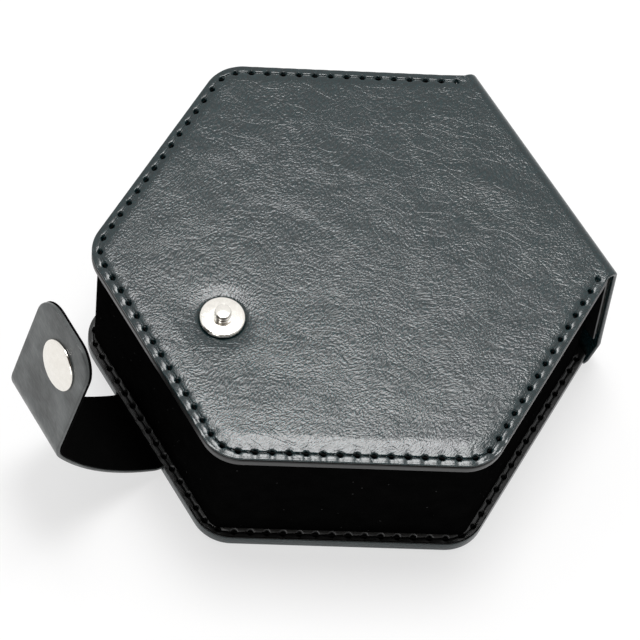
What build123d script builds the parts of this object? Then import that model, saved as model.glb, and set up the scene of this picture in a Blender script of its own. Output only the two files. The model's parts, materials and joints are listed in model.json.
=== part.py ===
from build123d import *
import os
from math import atan2, cos, degrees, hypot, radians, sin, sqrt, tan

# A hexagonal dice display box, in millimetres. A thin lid and a thin base, both of leather
# over board, are joined by a book spine. A velvet wall stands on the base and holds an insert
# with seven wells. A strap from the front of the base folds over the lid and snaps on a stud.
# The origin is the middle of the underside. The spine is at +Y and the strap at -Y.

# Outline of the case
side = 61.5
corner_radius = 10.0
edge_bevel = 0.6
groove_bevel = 0.3

# Sheets of the base and the lid
leather_thick = 1.1
lining_thick = 0.9
base_board_thick = 2.2
lid_board_thick = 1.8
lid_seat_gap = 0.1

# Wall of the tray
wall_height = 35.0
wall_board_thick = 2.0
wall_inset = 2.25
wall_corner_radius = 2.5
velvet_thick = 0.6

# Insert with its wells. Its top lies below the top of the wall by insert_drop
insert_drop = 3.8
well_diameter = 25.0
well_pitch = 31.0
outer_wells = 6
insert_floor_thick = 8.0
insert_clearance = 0.3

# Pad under the lid, far enough from the wall for the lid to swing back with the spine
pad_thick = 2.4
pad_clearance = 8.5

# Spine and its two folds
spine_width = 63.2
spine_board_thick = 0.8
spine_lining_thick = 0.4
spine_lean = 3.3
spine_bottom_height = 8.5
spine_board_margin = 1.6
lid_fold_radius = 3.0
lid_fold_inset = 2.0
base_fold_radius = 1.6
base_fold_inset = 0.86
base_fold_round = 1.0
fold_tail = 0.3

# Strap
strap_width = 22.0
strap_offset = -1.6
strap_leather_thick = 1.0
strap_lining_thick = 0.6
strap_tab_length = 12.0
strap_standoff = 1.0
strap_rise = 33.4
strap_root_radius = 3.0
strap_curl = 30.3
crease_radius = 7.0
crease_turn = 41.3
crease_pivot_along = 1.1
strap_closed_lean = 1.5
strap_tip_length = 12.3
strap_tip_radius = 6.5
tab_clearance = 0.3

# Snap fastener
snap_setback = 18.9
stud_flange_radius = 5.25
stud_flange_thick = 0.6
stud_flange_bevel = 0.25
stud_neck_radius = 1.6
stud_neck_height = 1.05
stud_head_radius = 2.0
stud_head_height = 1.55
eyelet_radius = 4.5
eyelet_thick = 0.5
eyelet_post_radius = 1.2
rivet_fit = 0.05
cap_radius = 6.0
cap_rim_height = 0.55
cap_crown_height = 1.25
cap_dome_shares = (0, 0.5, 0.82, 1)
shank_radius = 2.6
shank_wall = 0.3
socket_radius = 5.5
socket_height = 1.85
socket_sheet = 0.4
socket_bore_radius = 2.35
snap_gap = 0.05
spring_wire_radius = 0.25
spring_length = 7.2

# Levels of the sheets
apothem = side * sqrt(3) / 2
base_board_bottom = leather_thick
base_board_top = base_board_bottom + base_board_thick
base_top = base_board_top + lining_thick
wall_top = base_top + wall_height
lid_bottom = wall_top + lid_seat_gap
lid_board_bottom = lid_bottom + lining_thick
lid_board_top = lid_board_bottom + lid_board_thick
lid_top = lid_board_top + leather_thick

# Fold axes of the lid and the spine, as Y and Z. Both lie as deep under the outer leather
# of the spine as under the leather that they join to it, so the open case lies flat.
lid_pivot_y = apothem - lid_fold_inset
lid_pivot_z = lid_top - lid_fold_radius
lean_cos = cos(radians(spine_lean))
lean_sin = sin(radians(spine_lean))
base_pivot_z = base_fold_radius
base_pivot_y = lid_pivot_y + (
    lid_fold_radius - base_fold_radius + (lid_pivot_z - base_pivot_z) * lean_sin
) / lean_cos
base_back = apothem - base_fold_inset
lid_back = lid_pivot_y - fold_tail
cut_margin = 0.01


def hexagon(inset, rounding, back):
    """The outline of the case moved in by inset, with its four free corners rounded, cut off at back."""
    with BuildSketch() as outline:
        RegularPolygon(apothem - inset, 6, major_radius=False)
        free_corners = outline.vertices().sort_by(Axis.Y)[:4]
        fillet(free_corners, rounding)
        with Locations((0, back)):
            Rectangle(4 * side, 2 * side, align=(Align.CENTER, Align.MIN), mode=Mode.SUBTRACT)
    return outline.sketch


def ring_hexagon(inset, rounding):
    """A whole hexagon moved in by inset, with all six corners rounded."""
    with BuildSketch() as outline:
        RegularPolygon(apothem - inset, 6, major_radius=False)
        fillet(outline.vertices(), rounding)
    return outline.sketch


def free_edges(piece, back):
    """The edges of a sheet, except those on its cut at the back."""
    return piece.edges().filter_by(lambda e: e.center().Y < back - cut_margin)


def finish(piece, name):
    """Labels a finished piece and writes it."""
    piece.part.label = name
    export_step(piece.part, f"parts/{name}.step")


# Base: a leather cover turned up round a board, and a lining stitched on top
notch_width = strap_width + 2 * tab_clearance
strap_thick = strap_leather_thick + strap_lining_thick
tab_bottom = base_board_top - strap_thick
tab_inner_y = -(apothem - strap_tab_length)

with BuildPart() as base_cover:
    with BuildSketch():
        add(hexagon(0, corner_radius, base_back))
    extrude(amount=base_board_top)
    chamfer(free_edges(base_cover, base_back).group_by(Axis.Z)[0], edge_bevel)
    chamfer(free_edges(base_cover, base_back).group_by(Axis.Z)[-1], groove_bevel)
    with BuildSketch(Plane.XY.offset(base_board_bottom)):
        add(hexagon(leather_thick, corner_radius - leather_thick, 2 * side))
    extrude(amount=base_board_thick, mode=Mode.SUBTRACT)
    with BuildSketch(Plane.XY.offset(tab_bottom)):
        with Locations((strap_offset, -apothem)):
            Rectangle(notch_width, 4 * leather_thick)
    extrude(amount=strap_thick, mode=Mode.SUBTRACT)
finish(base_cover, "base_cover")

with BuildPart() as base_board:
    with BuildSketch(Plane.XY.offset(base_board_bottom)):
        add(hexagon(leather_thick, corner_radius - leather_thick, base_back))
    extrude(amount=base_board_thick)
    with BuildSketch(Plane.XY.offset(tab_bottom)):
        with Locations((strap_offset, tab_inner_y + tab_clearance)):
            Rectangle(notch_width, 2 * side, align=(Align.CENTER, Align.MAX))
    extrude(amount=strap_thick, mode=Mode.SUBTRACT)
finish(base_board, "base_board")

with BuildPart() as base_lining:
    with BuildSketch(Plane.XY.offset(base_board_top)):
        add(hexagon(0, corner_radius, base_back))
    extrude(amount=lining_thick)
    chamfer(free_edges(base_lining, base_back).group_by(Axis.Z)[-1], groove_bevel)
finish(base_lining, "base_lining")

# Wall: a folded board ring under one velvet wrap, turned over the top
wall_board_inset = wall_inset + velvet_thick
wall_inner_inset = wall_board_inset + wall_board_thick
tray_inset = wall_inner_inset + velvet_thick
inner_corner_radius = wall_corner_radius / 2

with BuildPart() as wall_board:
    with BuildSketch(Plane.XY.offset(base_top)):
        add(ring_hexagon(wall_board_inset, wall_corner_radius))
        add(ring_hexagon(wall_inner_inset, inner_corner_radius), mode=Mode.SUBTRACT)
    extrude(amount=wall_height - velvet_thick)
finish(wall_board, "wall_board")

with BuildPart() as wall_velvet:
    with BuildSketch(Plane.XY.offset(base_top)):
        add(ring_hexagon(wall_inset, wall_corner_radius + velvet_thick))
        add(ring_hexagon(tray_inset, inner_corner_radius), mode=Mode.SUBTRACT)
    extrude(amount=wall_height)
    with BuildSketch(Plane.XY.offset(base_top)):
        add(ring_hexagon(wall_board_inset, wall_corner_radius))
        add(ring_hexagon(wall_inner_inset, inner_corner_radius), mode=Mode.SUBTRACT)
    extrude(amount=wall_height - velvet_thick, mode=Mode.SUBTRACT)
finish(wall_velvet, "wall_velvet")

# Insert: a foam floor, and a foam block with velvet laminated on top, cut through at the wells
insert_inset = tray_inset + insert_clearance
insert_block_bottom = base_top + insert_floor_thick
insert_block_top = wall_top - insert_drop - velvet_thick
well_places = [(0, 0)] + [
    (well_pitch * cos(radians(i * 360 / outer_wells)), well_pitch * sin(radians(i * 360 / outer_wells)))
    for i in range(outer_wells)
]

with BuildPart() as insert_base:
    with BuildSketch(Plane.XY.offset(base_top)):
        add(ring_hexagon(insert_inset, inner_corner_radius))
    extrude(amount=insert_floor_thick)
finish(insert_base, "insert_base")

for low, high, name in (
    (insert_block_bottom, insert_block_top, "insert_block"),
    (insert_block_top, insert_block_top + velvet_thick, "insert_cover"),
):
    with BuildPart() as insert_layer:
        with BuildSketch(Plane.XY.offset(low)):
            add(ring_hexagon(insert_inset, inner_corner_radius))
            with Locations(*well_places):
                Circle(well_diameter / 2, mode=Mode.SUBTRACT)
        extrude(amount=high - low)
    finish(insert_layer, name)

# Lid: a lining turned up round a board, with the cover leather stitched on top
stud_y = -(apothem - snap_setback)
eyelet_hole_radius = eyelet_post_radius + rivet_fit

with BuildPart() as lid_lining:
    with BuildSketch(Plane.XY.offset(lid_bottom)):
        add(hexagon(0, corner_radius, lid_back))
    extrude(amount=lining_thick + lid_board_thick)
    chamfer(free_edges(lid_lining, lid_back).group_by(Axis.Z)[0], edge_bevel)
    chamfer(free_edges(lid_lining, lid_back).group_by(Axis.Z)[-1], groove_bevel)
    with BuildSketch(Plane.XY.offset(lid_board_bottom)):
        add(hexagon(lining_thick, corner_radius - lining_thick, 2 * side))
    extrude(amount=lid_board_thick, mode=Mode.SUBTRACT)
finish(lid_lining, "lid_lining")

with BuildPart() as lid_board:
    with BuildSketch(Plane.XY.offset(lid_board_bottom)):
        add(hexagon(lining_thick, corner_radius - lining_thick, lid_back))
    extrude(amount=lid_board_thick)
    with BuildSketch(Plane.XY.offset(lid_board_bottom)):
        with Locations((0, stud_y)):
            Circle(eyelet_hole_radius)
    extrude(amount=lid_board_thick, mode=Mode.SUBTRACT)
    with BuildSketch(Plane.XY.offset(lid_board_bottom)):
        with Locations((0, stud_y)):
            Circle(eyelet_radius + rivet_fit)
    extrude(amount=eyelet_thick, mode=Mode.SUBTRACT)
finish(lid_board, "lid_board")

with BuildPart() as lid_cover:
    with BuildSketch(Plane.XY.offset(lid_board_top)):
        add(hexagon(0, corner_radius, lid_back))
    extrude(amount=leather_thick)
    chamfer(free_edges(lid_cover, lid_back).group_by(Axis.Z)[-1], groove_bevel)
    with BuildSketch(Plane.XY.offset(lid_board_top)):
        with Locations((0, stud_y)):
            Circle(eyelet_hole_radius)
    extrude(amount=leather_thick, mode=Mode.SUBTRACT)
finish(lid_cover, "lid_cover")

# Pad on the inside of the lid, which keeps the dice in their wells
pad_inset = tray_inset + pad_clearance
pad_bottom = lid_bottom - pad_thick

with BuildPart() as lid_pad_velvet:
    with BuildSketch(Plane.XY.offset(pad_bottom)):
        add(ring_hexagon(pad_inset, inner_corner_radius + velvet_thick))
    extrude(amount=pad_thick)
    chamfer(lid_pad_velvet.edges().group_by(Axis.Z)[0], velvet_thick / 2)
    with BuildSketch(Plane.XY.offset(pad_bottom + velvet_thick)):
        add(ring_hexagon(pad_inset + velvet_thick, inner_corner_radius))
    extrude(amount=pad_thick, mode=Mode.SUBTRACT)
finish(lid_pad_velvet, "lid_pad_velvet")

with BuildPart() as lid_pad_foam:
    with BuildSketch(Plane.XY.offset(pad_bottom + velvet_thick)):
        add(ring_hexagon(pad_inset + velvet_thick, inner_corner_radius))
    extrude(amount=pad_thick - velvet_thick)
finish(lid_pad_foam, "lid_pad_foam")

# Spine: in spine_plane, y runs down the panel from the lid's fold axis and z runs outwards
spine_plane = Plane(
    origin=(0, lid_pivot_y, lid_pivot_z), x_dir=(1, 0, 0), z_dir=(0, lean_cos, lean_sin)
)
spine_drop = (lid_pivot_z - spine_bottom_height) / lean_cos
spine_inside = lid_fold_radius - leather_thick
board_drop = spine_drop - 2 * spine_board_margin

with BuildPart() as spine_leather:
    with BuildSketch(spine_plane.offset(spine_inside)):
        with Locations((0, fold_tail)):
            Rectangle(spine_width, spine_drop - fold_tail, align=(Align.CENTER, Align.MIN))
    extrude(amount=leather_thick)
finish(spine_leather, "spine_leather")

with BuildPart() as spine_board:
    with BuildSketch(spine_plane.offset(spine_inside - spine_board_thick)):
        with Locations((0, 2 * spine_board_margin)):
            Rectangle(
                spine_width - 2 * spine_board_margin,
                board_drop - spine_board_margin,
                align=(Align.CENTER, Align.MIN),
            )
    extrude(amount=spine_board_thick)
finish(spine_board, "spine_board")

with BuildPart() as spine_lining:
    with BuildSketch(spine_plane.offset(spine_inside - spine_board_thick - spine_lining_thick)):
        with Locations((0, 2 * spine_board_margin)):
            Rectangle(
                spine_width - spine_board_margin,
                board_drop - spine_board_margin,
                align=(Align.CENTER, Align.MIN),
            )
    extrude(amount=spine_lining_thick)
finish(spine_lining, "spine_lining")

# Folds of the cover leather, seen from the end: over the lid's fold axis, and under the spine
with BuildPart() as lid_fold:
    with BuildSketch(Plane.YZ):
        with BuildLine():
            fold_arc = CenterArc(
                (lid_pivot_y, lid_pivot_z), spine_inside + leather_thick / 2, spine_lean, 90 - spine_lean
            )
            Line(fold_arc @ 1, fold_arc @ 1 + Vector(-fold_tail, 0))
            Line(fold_arc @ 0, fold_arc @ 0 + Vector(fold_tail * lean_sin, -fold_tail * lean_cos))
        trace(line_width=leather_thick)
    extrude(amount=spine_width / 2, both=True)
finish(lid_fold, "lid_fold")

fold_middle = lid_fold_radius - leather_thick / 2
spine_foot = Vector(
    lid_pivot_y + fold_middle * lean_cos + spine_drop * lean_sin,
    lid_pivot_z + fold_middle * lean_sin - spine_drop * lean_cos,
)
spine_knee = spine_foot + Vector(lean_sin, -lean_cos) * base_fold_radius
with BuildPart() as base_fold:
    with BuildSketch(Plane.YZ):
        with BuildLine():
            FilletPolyline(
                (base_back, leather_thick / 2),
                (apothem, leather_thick / 2),
                spine_knee,
                spine_foot,
                radius=[base_fold_round, 2 * base_fold_round],
            )
        trace(line_width=leather_thick)
    extrude(amount=spine_width / 2, both=True)
finish(base_fold, "base_fold")


# Strap: a leather strip with a suede lining, seen from the side. It leaves the front of the
# base, rises while it curls in, turns at a crease and runs straight to its tip.
class Stretch:
    """A stretch of the strap's middle surface, straight or an arc that curls in to the case.

    start is the distance out from the middle of the case and the height, and heading is the
    angle above the horizon, going out.
    """

    def __init__(self, start, heading, length, curl=0.0):
        self.start = start
        self.heading = heading
        self.length = length
        self.curl = curl

    def heading_at(self, share):
        return self.heading + self.curl * share

    def out_and_up(self, share, depth=0.0):
        """The point at a share of the length, moved by depth towards the case's side."""
        turned = radians(self.heading_at(share))
        if self.curl == 0:
            out = self.start[0] + self.length * share * cos(turned)
            up = self.start[1] + self.length * share * sin(turned)
        else:
            radius = self.length / radians(self.curl)
            out = self.start[0] + radius * (sin(turned) - sin(radians(self.heading)))
            up = self.start[1] - radius * (cos(turned) - cos(radians(self.heading)))
        return out - depth * sin(turned), up + depth * cos(turned)

    def point(self, share, depth=0.0):
        """The same point as Y and Z."""
        out, up = self.out_and_up(share, depth)
        return -out, up


def strap_piece(stretch, low, high):
    """A layer of a curled stretch, from depth low to depth high, as wide as the strap."""
    with BuildPart() as piece:
        with BuildSketch(Plane.YZ.offset(strap_offset)):
            with BuildLine():
                outer = ThreePointArc(*[stretch.point(share, low) for share in (0, 0.5, 1)])
                inner = ThreePointArc(*[stretch.point(share, high) for share in (0, 0.5, 1)])
                Line(outer @ 0, inner @ 0)
                Line(outer @ 1, inner @ 1)
            make_face()
        extrude(amount=strap_width / 2, both=True)
    return piece


def length_to_reach(lead, step, reach):
    """How many steps, added to lead, give a vector as long as reach."""
    along = lead[0] * step[0] + lead[1] * step[1]
    square = step[0] ** 2 + step[1] ** 2
    rest = lead[0] ** 2 + lead[1] ** 2 - reach**2
    return (sqrt(along**2 - square * rest) - along) / square


strap_outside = -strap_thick / 2
strap_layer = strap_outside + strap_leather_thick
strap_inside = strap_thick / 2

# The root pivot is where the straight lines of the root bend would cross
root_tangent = strap_root_radius * tan(radians(strap_rise / 2))
root_out = apothem + strap_standoff
root_up = base_board_top - strap_thick / 2

# The lower stretch is as long as the closed strap needs to reach over the lid to the stud
strap_closed_up = lid_top + stud_flange_thick + snap_gap + socket_height + strap_thick / 2
strap_closed_rise = strap_closed_up - root_up
strap_reach = hypot(strap_closed_rise, strap_closed_lean)
crease_heading = strap_rise + strap_curl
tip_heading = crease_heading + crease_turn
half_curl = radians(strap_curl / 2)
half_turn = radians(crease_turn / 2)
crease_chord = 2 * crease_radius * sin(half_turn)
lower_chord_heading = radians(strap_rise) + half_curl
crease_chord_heading = radians(crease_heading) + half_turn
lead_vector = (
    root_tangent * cos(radians(strap_rise))
    + crease_chord * cos(crease_chord_heading)
    + crease_pivot_along * cos(radians(tip_heading)),
    root_tangent * sin(radians(strap_rise))
    + crease_chord * sin(crease_chord_heading)
    + crease_pivot_along * sin(radians(tip_heading)),
)
chord_share = sin(half_curl) / half_curl
lower_step = (chord_share * cos(lower_chord_heading), chord_share * sin(lower_chord_heading))
lower_length = length_to_reach(lead_vector, lower_step, strap_reach)

tab_run = Stretch(
    (apothem - strap_tab_length, root_up), 0.0, strap_tab_length + strap_standoff - root_tangent
)
root_run = Stretch(
    tab_run.out_and_up(1), 0.0, strap_root_radius * radians(strap_rise), strap_rise
)
lower_run = Stretch(root_run.out_and_up(1), strap_rise, lower_length, strap_curl)
crease_run = Stretch(
    lower_run.out_and_up(1), crease_heading, crease_radius * radians(crease_turn), crease_turn
)
snap_along = crease_pivot_along + root_out - strap_closed_lean + stud_y
tip_run = Stretch(crease_run.out_and_up(1), tip_heading, snap_along + strap_tip_length)

for run, name in ((root_run, "root_bend"), (lower_run, "lower"), (crease_run, "crease")):
    finish(strap_piece(run, strap_outside, strap_layer), f"strap_{name}_leather")
    finish(strap_piece(run, strap_layer, strap_inside), f"strap_{name}_lining")

for low, high, name in (
    (strap_outside, strap_layer, "leather"),
    (strap_layer, strap_inside, "lining"),
):
    with BuildPart() as strap_tab:
        with BuildSketch(Plane.XY.offset(root_up + low)):
            with Locations((strap_offset, tab_inner_y)):
                Rectangle(strap_width, tab_run.length, align=(Align.CENTER, Align.MAX))
        extrude(amount=high - low)
    finish(strap_tab, f"strap_tab_{name}")

# In snap_plane the strap's tip lies flat, seen from its leather side, with the snap at 0, 0.
# In snap_section x is the radius from the snap's axis and y runs outwards along the axis.
tip_outwards = (0, -sin(radians(tip_heading)), -cos(radians(tip_heading)))
tip_upwards = (0, -cos(radians(tip_heading)), sin(radians(tip_heading)))
snap_y, snap_z = tip_run.point(snap_along / tip_run.length)
snap_plane = Plane(origin=(0, snap_y, snap_z), x_dir=(1, 0, 0), z_dir=tip_outwards)
snap_section = Plane(
    origin=(0, snap_y, snap_z), x_dir=(1, 0, 0), z_dir=[-value for value in tip_upwards]
)
snap_axis = Axis((0, snap_y, snap_z), tip_outwards)
shank_hole_radius = shank_radius + rivet_fit

for low, high, name in (
    (strap_outside, strap_layer, "leather"),
    (strap_layer, strap_inside, "lining"),
):
    with BuildPart() as strap_tip:
        with BuildSketch(snap_plane.offset(-high)) as tip_outline:
            with Locations((strap_offset, strap_tip_length)):
                Rectangle(strap_width, tip_run.length, align=(Align.CENTER, Align.MAX))
            fillet(tip_outline.vertices().sort_by(Axis.Y)[-2:], strap_tip_radius)
            Circle(shank_hole_radius, mode=Mode.SUBTRACT)
        extrude(amount=high - low)
    finish(strap_tip, f"strap_tip_{name}")

# Snap on the strap: a domed cap whose shank goes through the strap and is spread inside the
# socket, and two spring wires that lie across the socket's mouth
cap_base = strap_thick / 2
shank_bore_radius = shank_radius - shank_wall
socket_back = -strap_thick / 2
socket_front = socket_back - socket_height
spread_top = socket_back - socket_sheet
spread_radius = shank_radius + 2 * shank_wall

cap_dome = [
    (cap_radius * share, cap_base + cap_crown_height - (cap_crown_height - cap_rim_height) * share**2)
    for share in cap_dome_shares
]

with BuildPart() as snap_cap:
    with BuildSketch(snap_section):
        with BuildLine():
            Polyline(
                *cap_dome,
                (cap_radius, cap_base),
                (shank_radius, cap_base),
                (shank_radius, spread_top),
                (spread_radius, spread_top - shank_wall),
                (shank_bore_radius, spread_top - shank_wall),
                (shank_bore_radius, cap_base + shank_wall),
                (0, cap_base + shank_wall),
                close=True,
            )
        make_face()
    revolve(axis=snap_axis)
finish(snap_cap, "snap_cap")

with BuildPart() as snap_socket:
    with BuildSketch(snap_section):
        with BuildLine():
            Polyline(
                (shank_hole_radius, socket_back),
                (socket_radius, socket_back),
                (socket_radius, socket_front),
                (socket_bore_radius, socket_front),
                (socket_bore_radius, socket_front + socket_sheet),
                (socket_radius - socket_sheet, socket_front + socket_sheet),
                (socket_radius - socket_sheet, spread_top),
                (shank_hole_radius, spread_top),
                close=True,
            )
        make_face()
    revolve(axis=snap_axis)
finish(snap_socket, "snap_socket")

wire_level = socket_front + socket_sheet + spring_wire_radius
wire_x = stud_neck_radius + rivet_fit + spring_wire_radius
wire_plane = Plane(
    origin=snap_plane.from_local_coords((0, -spring_length / 2, wire_level)),
    x_dir=(1, 0, 0),
    z_dir=tip_upwards,
)
with BuildPart() as snap_spring:
    with BuildSketch(wire_plane):
        with Locations((-wire_x, 0), (wire_x, 0)):
            Circle(spring_wire_radius)
    extrude(amount=spring_length)
finish(snap_spring, "snap_spring")

# Stud on the lid, held by an eyelet from under the lid's board
stud_section = Plane(origin=(0, stud_y, lid_top), x_dir=(1, 0, 0), z_dir=(0, -1, 0))
stud_axis = Axis((0, stud_y, lid_top), (0, 0, 1))
head_bottom = stud_flange_thick + stud_neck_height
head_top = head_bottom + stud_head_height
head_bevel = stud_head_radius - stud_neck_radius
stud_bore_top = head_top - 2 * rivet_fit - head_bevel

with BuildPart() as snap_stud:
    with BuildSketch(stud_section):
        with BuildLine():
            Polyline(
                (eyelet_hole_radius, 0),
                (stud_flange_radius, 0),
                (stud_flange_radius, stud_flange_thick - stud_flange_bevel),
                (stud_flange_radius - stud_flange_bevel, stud_flange_thick),
                (stud_neck_radius, stud_flange_thick),
                (stud_neck_radius, head_bottom),
                (stud_head_radius, head_bottom + head_bevel / 2),
                (stud_head_radius, head_top - head_bevel),
                (stud_neck_radius, head_top),
                (0, head_top),
                (0, stud_bore_top),
                (eyelet_hole_radius, stud_bore_top),
                close=True,
            )
        make_face()
    revolve(axis=stud_axis)
finish(snap_stud, "snap_stud")

with BuildPart() as stud_eyelet:
    with BuildSketch(Plane.XY.offset(lid_board_bottom)):
        with Locations((0, stud_y)):
            Circle(eyelet_radius)
    extrude(amount=eyelet_thick)
    with BuildSketch(Plane.XY.offset(lid_board_bottom)):
        with Locations((0, stud_y)):
            Circle(eyelet_post_radius)
    extrude(amount=lid_top + stud_bore_top - rivet_fit - lid_board_bottom)
finish(stud_eyelet, "stud_eyelet")

# Joint axes as Y and Z, and the angles that bring the snap onto the stud
crease_pivot = tip_run.out_and_up(crease_pivot_along / tip_run.length)
closed_angle = atan2(strap_closed_rise, -strap_closed_lean)
rest_angle = atan2(crease_pivot[1] - root_up, crease_pivot[0] - root_out)
root_closing = degrees(closed_angle - rest_angle)
crease_closing = 180 - tip_heading - root_closing
print(f"spine fold axis: Y {base_pivot_y:.4f}, Z {base_pivot_z:.4f}, opens {90 + spine_lean:.3f} degrees")
print(f"lid fold axis: Y {lid_pivot_y:.4f}, Z {lid_pivot_z:.4f}, opens {90 - spine_lean:.3f} degrees")
print(f"strap root axis: Y {-root_out:.4f}, Z {root_up:.4f}, closes {root_closing:.5f} degrees")
print(f"strap crease axis: Y {-crease_pivot[0]:.4f}, Z {crease_pivot[1]:.4f}, closes {crease_closing:.5f} degrees")
print(f"strap length from the base's edge: {strap_standoff + lower_length + crease_run.length + tip_run.length:.2f}")
print(f"lower stretch {lower_length:.3f}, snap at Y {snap_y:.3f}, Z {snap_z:.3f}, lid top {lid_top:.2f}")
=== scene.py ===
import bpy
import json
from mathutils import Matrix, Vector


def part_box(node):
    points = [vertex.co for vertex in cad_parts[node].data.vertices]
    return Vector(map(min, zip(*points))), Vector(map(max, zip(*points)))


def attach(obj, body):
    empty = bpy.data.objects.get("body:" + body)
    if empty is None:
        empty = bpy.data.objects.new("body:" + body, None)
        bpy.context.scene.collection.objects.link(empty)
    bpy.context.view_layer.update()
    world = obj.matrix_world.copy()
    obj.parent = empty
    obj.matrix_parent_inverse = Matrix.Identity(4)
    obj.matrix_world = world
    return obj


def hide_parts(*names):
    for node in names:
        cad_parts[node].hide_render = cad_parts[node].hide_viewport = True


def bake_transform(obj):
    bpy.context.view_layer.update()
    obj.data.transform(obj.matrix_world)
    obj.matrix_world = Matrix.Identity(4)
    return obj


bl_info = {
    "name": "Dice Box",
    "version": (1, 0, 0),
    "blender": (4, 5, 0),
    "location": "View3D > Sidebar > Dice Box",
    "description": "Dresses the packed hexagonal dice box in leather, velvet, thread and nickel",
    "category": "Add Mesh",
}

import contextlib
import functools
import json
import math

import bmesh
import bpy
import numpy as np
from mathutils import Matrix, Vector, kdtree
from mathutils.geometry import delaunay_2d_cdt

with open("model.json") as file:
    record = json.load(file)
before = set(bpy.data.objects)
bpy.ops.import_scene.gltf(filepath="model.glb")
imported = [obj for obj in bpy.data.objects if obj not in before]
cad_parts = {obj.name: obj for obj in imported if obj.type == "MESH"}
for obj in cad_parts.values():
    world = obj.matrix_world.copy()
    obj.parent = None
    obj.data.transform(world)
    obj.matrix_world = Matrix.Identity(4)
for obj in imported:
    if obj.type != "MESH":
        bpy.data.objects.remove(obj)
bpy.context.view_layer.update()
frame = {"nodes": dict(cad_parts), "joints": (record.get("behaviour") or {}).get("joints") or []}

# Lengths in this file are millimetres, except in properties, which Blender keeps in metres
MM = 0.001
COS_30 = math.cos(math.radians(30))

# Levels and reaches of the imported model
LID_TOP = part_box("lid_cover")[1].z / MM
LID_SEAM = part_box("lid_cover")[0].z / MM
LID_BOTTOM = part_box("lid_lining")[0].z / MM
LID_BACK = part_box("lid_cover")[1].y / MM
BASE_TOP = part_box("base_lining")[1].z / MM
BASE_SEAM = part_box("base_cover")[1].z / MM
BASE_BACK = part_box("base_cover")[1].y / MM
WALL_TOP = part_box("wall_velvet")[1].z / MM
APOTHEM = -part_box("lid_cover")[0].y / MM
LID_HALF_BACK = (APOTHEM - LID_BACK / 2) / COS_30
STUD_PLACE = tuple(sum(corner[axis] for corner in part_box("snap_stud")) / 2 / MM for axis in (0, 1))

# Cover: the fold at the lid's back, whose axis is (y, z), and the spine below it
COVER_THICK = 1.1
JOINT_PLACES = {joint["name"]: [value / MM for value in joint["pos_m"][1:]] for joint in frame["joints"]}
LID_PIVOT = JOINT_PLACES["lid_hinge"]
FOLD_RADIUS = LID_TOP - LID_PIVOT[1]
SPINE_LEAN = math.radians(3.3)
SPINE_HALF_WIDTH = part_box("spine_leather")[1].x / MM
SPINE_FOOT = 8.5
SPINE_KNEE = 1.6

# How stitching and the stud shape the leather
STITCH_MARGIN = 3.0
STITCH_FADE = 5.0
ROLL_DROP = 0.55
EDGE_DROP = 0.3
CREST_RISE = 0.15
GROOVE_DEPTH = 0.14
PULL_DEPTH = 0.08
LID_BAND = 9.0
LID_ROLL = 5.5
BASE_BAND = 4.0
BASE_ROLL = 1.0
DIMPLE_RADII = (4.8, 5.3, 5.45, 5.65, 5.9, 6.3, 6.9, 7.6, 8.4, 9.4, 10.8)
DIMPLE_DEPTH = 0.62
DIMPLE_EDGE = 5.3

# Thread: its level under the leather's face, the gap between stitches, and how high one bows
THREAD_DEPTH = 0.6
STITCH_GAP = 0.25
STITCH_BOW = 0.55
STITCH_SLANT = 0.06

# Linings, turned round their boards
EDGE_BEND = 0.75
LID_LINING_THICK = 0.9

# Wall: insets of its outer and inner face, and its velvet
WALL_OUTER = 2.25
WALL_INNER = 5.45
WALL_CORNER = 3.1
WALL_TURN = 0.45
VELVET_THICK = 0.55

# Insert and pad
WELL_RADIUS = 12.5
WELL_RING = 31.0
WELL_LIP = 0.5
INSERT_CORNER = 1.25
PAD_ROLL = 1.1
PAD_CROWN = 0.35

# Strap: width and layers, and the runs of its middle line as (length, turn in degrees)
STRAP_WIDTH = 22.0
STRAP_OFFSET = -1.6
STRAP_THICK = 1.6
STRAP_LINING = 0.6
STRAP_TIP_RADIUS = 6.5
STRAP_START = (APOTHEM - 12.0, 2.5)
STRAP_RUNS = ((12.0999, 0.0), (1.7488, 33.4), (38.749, 30.3), (5.0457, 41.3), (30.6, 0.0))
STRAP_SEAM = 36.0
STRAP_LAP = 0.05
SNAP_PLACE = (0.0, -75.804, 55.451)
SNAP_HEADING = math.radians(105)

# Where leather bends, as (y, z) from the one body to the other
ROOT_BEND = ((-53.36, 2.5), (-55.2, 3.1))
CREASE_BEND = ((-81.24, 35.17), (-79.89, 40.19))

# Studio. The lens looks past the middle of the case, and the world is dark on the camera's side,
# which the upright faces of the snap mirror
CAMERA_TARGET = (-8.324, 1.166, 0.0)
CAMERA_SENSOR = 36.0
CAMERA_SHIFT = (-0.00234, 0.00508)
CAMERA_NEAR, CAMERA_FAR = 50.0, 20000.0
# Each lamp's direction from the lid, distance and size
KEY_LAMP = ((-0.175, 0.142, 0.974), 1000.0, 400.0)
FILL_LAMP = ((0.55, -0.8, 0.35), 1200.0, 500.0)
LAMP_CENTRE = (0.0, 0.0, 30.0)
DARK_SIDE = (0.401, -0.322, 0.858)
DARK_EDGE = (0.68, 0.78)
DARK_COLOUR = "3a3028"
FLOOR_HALF = 4000.0
FLOOR_GLOW = 0.62
PAPER_WHITE = (0.86, 0.86, 0.86)


# Nodes and materials


def linear(hex_colour):
    """An sRGB hex colour as linear red, green, blue and alpha."""
    channels = [int(hex_colour[i : i + 2], 16) / 255 for i in (0, 2, 4)]
    return (*(c / 12.92 if c <= 0.04045 else ((c + 0.055) / 1.055) ** 2.4 for c in channels), 1.0)


def per_mm(size):
    """The scale of a pattern whose lumps are size millimetres across."""
    return 1 / (size * MM)


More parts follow.
